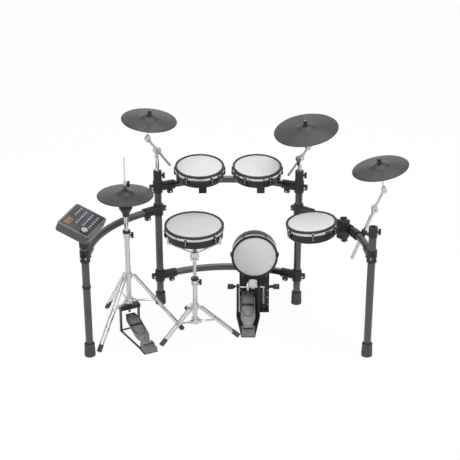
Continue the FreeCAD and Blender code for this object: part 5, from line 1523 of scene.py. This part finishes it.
@dataclass
class HiHat:
    """The hi-hat: tripod, controller, pull rod with its clutch, cymbal and pedal."""

    rod_least: float = 0.1
    felt_most: float = 0.0085
    felt_bore: float = 0.0032
    felt: float = 0.014
    felt_high: float = 0.007
    felt_gap: float = 0.0003
    heel_top: float = 0.04

    def build(self) -> None:
        """Make and dress every piece."""
        TripodStand("hihat_stand", "hihat_upper_tube").build()
        pad = CymbalPad("hihat")
        pad.build()
        PackedNode("hihat_controller", CLAMP_PLASTIC, edge=0.0016).dress()
        regions = [Region("rod", CHROME, taller(self.rod_least), edge=0.0008),
                   Region("felts", None, lower(self.felt_most))]
        node = PackedNode("hihat_pull_rod", CLAMP_PLASTIC, regions, edge=0.0016).dress()
        felts, under_pad = Form(), -pad.thick - self.felt_high
        for low, high in ((self.felt_gap, self.felt_high), (under_pad, -pad.thick - self.felt_gap)):
            felts.add(Felt(self.felt_bore, self.felt, low, high).form())
        hand_form("hihat_felts", felts, pad.place, DARK_FELT, node.body, [node.name])
        heel = Region("heel", PEDAL_CAST, under(self.heel_top), edge=0.0014)
        PackedNode("hihat_pedal_frame", BLACK_ENAMEL, [heel], edge=0.0012).dress()
        PackedNode("hihat_linkage", CHROME, edge=0.0008).dress()
        Footboard("hihat_footboard", "hihat_press", length=0.238, slope=17.5, turn=26.7).build()


@dataclass
class Footboard:
    """A cast footboard with its inlaid lines. Y runs from the hinge to the toe, Z out of the board.

    The lower part of the tread's outline is in shares of its half width and of the board's length.
    """

    node: str
    joint: str
    length: float
    slope: float
    turn: float = 0.0
    half: float = 0.04
    thick: float = 0.005
    margin: float = 0.006
    line: float = 0.0042
    sunk: float = 0.0002
    proud: float = 0.0007
    toe_half: float = 0.017
    toe_in: float = 0.007
    shoulder_in: float = 0.05
    shoulder_narrow: float = 0.001
    tread: Profile = ((1.0, 0.5), (0.78, 0.4), (0.56, 0.355), (0.46, 0.3))
    band_at: float = 0.62
    band_half: float = 0.009
    band_edge: float = 0.0003
    screw_half: float = 0.013
    screw_in: float = 0.02
    screw_high: float = 0.0022
    screw_radius: float = 0.0042
    heel_back: float = 0.034
    heel_top: float = -0.0025
    mark_half: float = 0.014
    mark_deep: float = 0.006
    mark_line: float = 0.0028

    def build(self) -> None:
        """Dress the board and lay the dark lines on it and on its heel."""
        board = PackedNode(self.node, PEDAL_CAST, edge=0.0012).dress()
        floor = shifted(joint_point(self.joint)) @ spun("Z", self.turn)
        tread = floor @ spun("X", self.slope)
        hand_form(f"{self.node}_inlay", self._inlay(), tread, BLACK_ENAMEL, board.body)
        back, half = -self.heel_back, self.mark_half
        end = back - self.mark_deep
        corners = [(-half, end), (-half, back), (half, back), (half, end)]
        mark = Form().ribbon(corners, self.mark_line, self.heel_top, self.heel_top + self.proud)
        hand_form(f"{self.node}_heel_mark", mark, floor, BLACK_ENAMEL, "kit_frame")

    def _inlay(self) -> Form:
        """Lay the outline of the tread, a plain band across it and the screws at the toe.

        Returns:
            The form.
        """
        top, wide = self.thick / 2, self.half - self.margin
        low, high = top - self.sunk, top + self.proud
        half = [(self.toe_half, self.length - self.toe_in),
                (wide - self.shoulder_narrow, self.length - self.shoulder_in),
                *[(wide * across, self.length * along) for across, along in self.tread]]
        outline = [*half, *[(-x, y) for x, y in reversed(half)], half[0]]
        form = Form().ribbon(outline, self.line, low, high)
        form.slab(oblong((0.0, self.length * self.band_at), wide, self.band_half), low, high, self.band_edge)
        for side in (-1, 1):
            x, y = side * self.screw_half, self.length - self.screw_in
            form.rod((x, y, top), (x, y, top + self.screw_high), self.screw_radius, sides=20)
        return form


@dataclass
class KickPedal:
    """The kick drum's tower and pedal: base, board, axle, beater, chain and spring.

    The rise of the beater's ends has its first numbers in shares of the felt's radius.
    """

    felt_least: float = 0.03
    felt_half: float = 0.02
    felt_round: float = 0.007
    felt_rise: Profile = ((0.4, 0.0002), (0.0, 0.0004))
    lean: float = 50.0
    pitch: float = 0.0081
    roller: float = 0.0026
    roller_half: float = 0.0036
    pin: float = 0.0012
    pin_half: float = 0.005
    plates: Pair = (0.0042, 0.003)
    plate_half: float = 0.0006
    curls: float = 18.0
    curl_steps: int = 22
    coil: float = 0.00535
    wire: float = 0.00065
    screw: Profile = ((0.0, 0.0016), (0.0014, 0.0016), (0.0018, 0.0024), (0.0034, 0.002), (0.0042, 0.0006),
                      (0.0042, -0.001), (0.0, -0.001))
    screws: int = 3
    screw_step: float = 0.045
    screw_out: float = 0.074
    screw_low: float = 0.03
    forwards: float = -0.99

    def build(self) -> None:
        """Make and dress every piece."""
        PackedNode("kick_tower", BLACK_ENAMEL, edge=0.0022).dress()
        PackedNode("kick_pedal_base", BLACK_ENAMEL, edge=0.0014).dress()
        PackedNode("kick_heel_plate", PEDAL_CAST, edge=0.0016).dress()
        Footboard("kick_footboard", "kick_press", length=0.246, slope=24.7).build()
        PackedNode("kick_axle", BOLT_STEEL, edge=0.0009).dress()
        self._beater()
        self._chain()
        self._spring()
        self._screws()

    def _beater(self) -> None:
        """Dress the beater's shaft and press its felt head."""
        felt = Region("felt", None, lambda low, high: high.x - low.x > self.felt_least)
        node = PackedNode("kick_beater", CHROME, [felt], edge=0.0008).dress()
        low, high = max(node.boxes(), key=lambda box: box[1].x - box[0].x)
        radius, half, ease = (high.x - low.x) / 2, self.felt_half, self.felt_round
        upper = [*arc((radius - ease, half - ease), ease, 0, 90),
                 *[(radius * share, half + rise) for share, rise in self.felt_rise]]
        lower = [(out, -height) for out, height in reversed(upper)]
        form = Form().lathe([*lower, *upper], segments=64)
        place = shifted(middle_of(low, high)) @ spun("X", self.lean - 90)
        hand_form("kick_beater_head", form, place, BEATER_FELT, node.body, [node.name])

    def _chain(self) -> None:
        """Hang the roller chain between the cam and the footboard."""
        low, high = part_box("kick_chain")
        middle = Vector((*middle_of(low, high).xy, high[2] - self.roller))
        length = high[2] - low[2] - 2 * self.roller
        count = max(2, round(length / self.pitch / 2))
        step = length / count / 2
        pair = Form()
        for index, spread in enumerate(self.plates):
            z = -index * step
            pair.rod((-self.roller_half, 0.0, z), (self.roller_half, 0.0, z), self.roller, sides=14)
            pair.rod((-self.pin_half, 0.0, z), (self.pin_half, 0.0, z), self.pin, sides=10)
            outline = [*arc((0.0, z), self.roller, 0, 180), *arc((0.0, z - step), self.roller, 180, 360)]
            for side in (-1, 1):
                plate = Form().slab(outline, -self.plate_half, self.plate_half)
                pair.add(plate, shifted((side * spread, 0.0, 0.0)) @ spun("Z", 90) @ ON_EDGE)
        mesh = ROW.repeat(pair, SPRING_WIRE, "kick_drive_chain", shifted(middle), Count=count,
                          Step=(0.0, 0.0, -2 * step))
        piece = hand_over(mesh.name, mesh, SPRING_WIRE, None, ["kick_chain"])
        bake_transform(piece)

    def _spring(self) -> None:
        """Wind the return spring between its adjuster and the crank."""
        low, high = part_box("kick_spring")
        x, y = (low[0] + high[0]) / 2, (low[1] + high[1]) / 2
        mesh = COIL.grow("kick_return_spring", Radius=self.coil, Wire=self.wire, Turns=self.curls,
                         Height=high[2] - low[2] - 2 * self.wire, Steps=self.curl_steps,
                         Finish=SPRING_WIRE.material())
        mesh.transform(shifted((x, y, low[2] + self.wire)))
        piece = hand_over(mesh.name, mesh, SPRING_WIRE, None, ["kick_spring"])
        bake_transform(piece)

    def _screws(self) -> None:
        """Set two rows of screws in the tower's front, its largest face that looks forwards."""
        tower = frame["nodes"]["kick_tower"].data
        faces = [face for face in tower.polygons if face.normal.y < self.forwards]
        front = max(faces, key=lambda face: face.area).center.y
        middle = middle_of(*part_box("kick_shell")).x
        for side, suffix in ((-1, "left"), (1, "right")):
            name = f"kick_tower_screws_{suffix}"
            screw = Form().lathe(self.screw, segments=24).moved(ON_EDGE)
            place = shifted((middle + side * self.screw_out, front, self.screw_low))
            mesh = ROW.repeat(screw, BOLT_STEEL, name, place, Count=self.screws,
                              Step=(0.0, 0.0, self.screw_step))
            hand_over(name, mesh, BOLT_STEEL, "kit_frame")


@dataclass
class SnareBasket:
    """The basket that holds the snare drum by three rubber grips."""

    grip_most: float = 0.09

    def build(self) -> None:
        """Dress the basket's arms and its grips."""
        grips = Region("grips", FOOT_RUBBER, smaller(self.grip_most), edge=0.002)
        PackedNode("snare_basket", CHROME, [grips], edge=0.001).dress()


@dataclass
class BoomClamp:
    """The clamp that holds the right cymbal's tube beside the arm."""

    knob_most: float = 0.045

    def build(self) -> None:
        """Dress the clamp and its knob."""
        PackedNode("boom_clamp", CLAMP_PLASTIC, [knobs(self.knob_most)], edge=0.0016).dress()


@dataclass
class SoundModule:
    """The sound module. Its frame starts in the middle of its top face, with X along its width."""

    yaw: float = 72.6
    tilt: float = 21.6
    hinge: Point = (0.0, -0.029, -0.065)
    half_wide: float = 0.123
    half_deep: float = 0.089
    rim: float = 0.007
    corner: float = 0.006
    sunk: float = 0.0003
    panel: float = 0.0006
    panel_edge: float = 0.0002
    line: float = 0.0012
    line_proud: float = 0.0003
    screen: Pair = (-0.058, 0.052)
    screen_half: Pair = (0.033, 0.015)
    screen_sunk: float = 0.0008
    screen_proud: float = 0.0006
    bezel: float = 0.004
    bezel_proud: float = 0.0012
    bezel_edge: float = 0.0003
    key: Point = (0.014, 0.007, 0.006)
    key_top: float = 0.0025
    key_edge: float = 0.0011
    lamp: Point = (0.0036, 0.0018, 0.0006)
    lamp_up: float = 0.0075
    lamp_proud: float = 0.0002
    lamp_edge: float = 0.0003
    dial: Profile = ((0.0, -0.008), (0.003, -0.008), (0.003, 0.0008), (0.0166, 0.0008), (0.0178, 0.0018),
                     (0.0178, 0.0125), (0.0168, 0.0157), (0.015, 0.0165), (0.01178, 0.0165),
                     (0.00855, 0.0155), (0.0, 0.0151))
    rib: Point = (0.0016, 0.0009, 0.0105)
    rib_middle: float = 0.00745
    rib_edge: float = 0.0003
    ribs: int = 44
    rib_ring: float = 0.0179

    def build(self) -> None:
        """Make and dress every piece."""
        self.place = (shifted(joint_point("module_tilt")) @ spun("Z", self.yaw) @ spun("X", self.tilt)
                      @ shifted(-Vector(self.hinge)))
        self.body = PackedNode("module_case", MODULE_CASE, edge=0.002).dress().body
        PackedNode("module_bracket", CLAMP_PLASTIC, edge=0.0016).dress()
        self._face()
        self._display()
        self._keys()
        self._dial()

    def _face(self) -> None:
        """Lay the glossy front panel and the light line round it."""
        wide, deep = self.half_wide - self.rim, self.half_deep - self.rim
        outline = [(sx * (wide - self.corner * cut), sy * (deep - self.corner * (1 - cut)))
                   for sx, sy in oblong((0, 0), 1, 1) for cut in ((0, 1) if sx == sy else (1, 0))]
        panel = Form().slab(outline, -self.sunk, self.panel, self.panel_edge)
        hand_form("module_panel", panel, self.place, PANEL_GLOSS, self.body)
        line = Form().ribbon([*outline, outline[0]], self.line, -self.sunk, self.panel + self.line_proud)
        hand_form("module_panel_line", line, self.place, KEY_CAP, self.body)

    def _display(self) -> None:
        """Set the lit display in its bezel."""
        (x, y), (wide, deep) = self.screen, self.screen_half
        pane = Form().slab(oblong(self.screen, wide, deep), -self.screen_sunk,
                           self.panel + self.screen_proud)
        pane.map(lambda point: ((point.x - x) / (2 * wide) + 0.5, (point.y - y) / (2 * deep) + 0.5))
        hand_form("module_display", pane, self.place, DISPLAY, self.body, ["module_screen"])
        corners = oblong(self.screen, wide + self.bezel / 2, deep + self.bezel / 2)
        bezel = Form()
        for start, end in zip(corners, [*corners[1:], corners[0]]):
            bezel.ribbon([start, end], self.bezel, -self.sunk, self.panel + self.bezel_proud,
                         self.bezel_edge)
        hand_form("module_bezel", bezel, self.place, CLAMP_PLASTIC, self.body)

    def _keys(self) -> None:
        """Cap every key, with a small lamp above it."""
        keys = PackedNode("module_buttons", KEY_CAP)
        into = self.place.inverted()
        caps, lamps = Form(), Form()
        for box in keys.boxes():
            x, y, _ = into @ middle_of(*box)
            caps.block(self.key, (x, y, self.key_top - self.key[2] / 2), self.key_edge, steps=3)
            lamps.block(self.lamp, (x, y + self.lamp_up, self.panel + self.lamp_proud), self.lamp_edge)
        hand_form("module_key_caps", caps, self.place, KEY_CAP, keys.body, [keys.name])
        hand_form("module_key_lamps", lamps, self.place, LAMP_BLUE, self.body)

    def _dial(self) -> None:
        """Turn the dial with its finger dish and set the ribs round its side."""
        node = PackedNode("module_knob", DIAL_METAL)
        axis = self.place.inverted() @ joint_point("dial_turn")
        place = self.place @ shifted((axis.x, axis.y, 0.0))
        dial = Form().lathe(self.dial, segments=72, chart=Chart.RING)
        hand_form("module_dial", dial, place, DIAL_METAL, node.body, [node.name])
        rib = Form().block(self.rib, (0.0, 0.0, self.rib_middle), self.rib_edge, steps=1)
        mesh = RING.repeat(rib, DIAL_METAL, "module_dial_knurl", place, Count=self.ribs,
                           Radius=self.rib_ring, Turn=0.0)
        hand_over(mesh.name, mesh, DIAL_METAL, node.body, [node.name])


ASSEMBLIES = [
    Rack(),
    DrumPad("tom_left"), DrumPad("tom_right"), DrumPad("floor_tom", along=FRONT),
    DrumPad("snare", lug_turn=15.0, mesh=SNARE_MESH_PAINTED_SHADE), DrumPad("kick", out=FRONT, mesh=KICK_MESH_PAINTED_LIGHT),
    BoomStand("crash_left"), BoomStand("ride"), BoomStand("crash_right"),
    HiHat(),
    TripodStand("snare_stand", "snare_upper_tube"), SnareBasket(),
    BoomClamp(),
    KickPedal(), SoundModule(),
]


@dataclass(frozen=True)
class Lamp:
    """A soft square lamp, its side in metres and its power in watts."""

    name: str
    place: Point
    size: float
    power: float
    target: Point = (0.0, 0.0, 0.5)

    def build(self) -> None:
        """Hang the lamp so that it faces its target."""
        light = bpy.data.lights.new(self.name, "AREA")
        light.size, light.energy = self.size, self.power
        lamp = set_out(self.name, light)
        lamp.location = self.place
        lamp.rotation_euler = (Vector(self.target) - Vector(self.place)).to_track_quat("-Z", "Y").to_euler()


@dataclass(frozen=True)
class Studio:
    """A pale floor, soft lamps and the camera at the photograph's height and distance."""

    eye: Point = (-0.0262, -6.2088, 3.51)
    tilt: float = 64.8
    sensor: float = 36.0
    lens: float = 36.0 * 1280.0 / 460.0
    floor_size: float = 40.0
    floor_tone: Colour = (0.9, 0.9, 0.9)
    white_share: float = 0.96
    sky_low: float = 0.216
    sky_high: float = 0.56
    lamps: tuple[Lamp, ...] = (Lamp("key", (-2.6, -3.2, 4.6), 3.2, 120.0),
                               Lamp("fill", (3.4, -2.0, 3.6), 3.0, 65.0),
                               Lamp("top", (0.2, 0.9, 4.9), 3.2, 115.0, (0.0, 0.0, 0.6)))

    def build(self) -> None:
        """Make the floor, the world, the lamps and the camera."""
        self._floor()
        self._world()
        for lamp in self.lamps:
            lamp.build()
        self._camera()

    def _floor(self) -> None:
        """A pale floor that keeps a soft shadow, white in the picture and in bright metal."""
        bench = Bench(bpy.data.materials.new("pale_floor"))
        lit = bench.add("ShaderNodeBsdfDiffuse", inputs={"Color": self.floor_tone})
        white = bench.add("ShaderNodeEmission", inputs={"Color": WHITE, "Strength": 1.0})
        share = bench.seen() * self.white_share
        shader = bench.add("ShaderNodeMixShader", inputs={0: share, 1: lit, 2: white})
        bench.add("ShaderNodeOutputMaterial", inputs={"Surface": shader})
        form = Form()
        bmesh.ops.create_grid(form.mesh, x_segments=1, y_segments=1, size=self.floor_size / 2)
        floor = set_out("floor", form.made("floor"))
        floor.data.materials.append(bench.owner)

    def _world(self) -> None:
        """A sky that pales upwards, white in the picture and in bright metal."""
        bench = Bench(bpy.data.worlds.new("studio_sky"))
        way = bench.add("ShaderNodeTexCoord", output="Generated")
        height = bench.add("ShaderNodeSeparateXYZ", inputs={0: way}, output="Z")
        level = bench.add("ShaderNodeMapRange", inputs={"Value": height, "To Min": self.sky_low,
                                                        "To Max": self.sky_high})
        strength = bench.add("ShaderNodeMix", inputs={"Factor": bench.seen(), "A": level, "B": 1.0})
        sky = bench.add("ShaderNodeBackground", inputs={"Color": WHITE, "Strength": strength})
        bench.add("ShaderNodeOutputWorld", inputs={"Surface": sky})
        bpy.context.scene.world = bench.owner

    def _camera(self) -> None:
        """Set the camera that matches the photograph's framing."""
        view = bpy.data.cameras.new("view")
        view.lens, view.sensor_width = self.lens, self.sensor
        camera = set_out("view", view)
        camera.location = self.eye
        camera.rotation_euler = Euler((math.radians(self.tilt), 0.0, 0.0))
        bpy.context.scene.camera = camera


def main() -> None:
    logging.basicConfig(level=logging.INFO, format="%(name)s: %(message)s")
    bpy.context.scene.view_settings.view_transform = "Standard"
    for assembly in ASSEMBLIES:
        LOG.info("building %s", type(assembly).__name__)
        assembly.build()
    Studio().build()


if __name__ == "__main__":
    main()
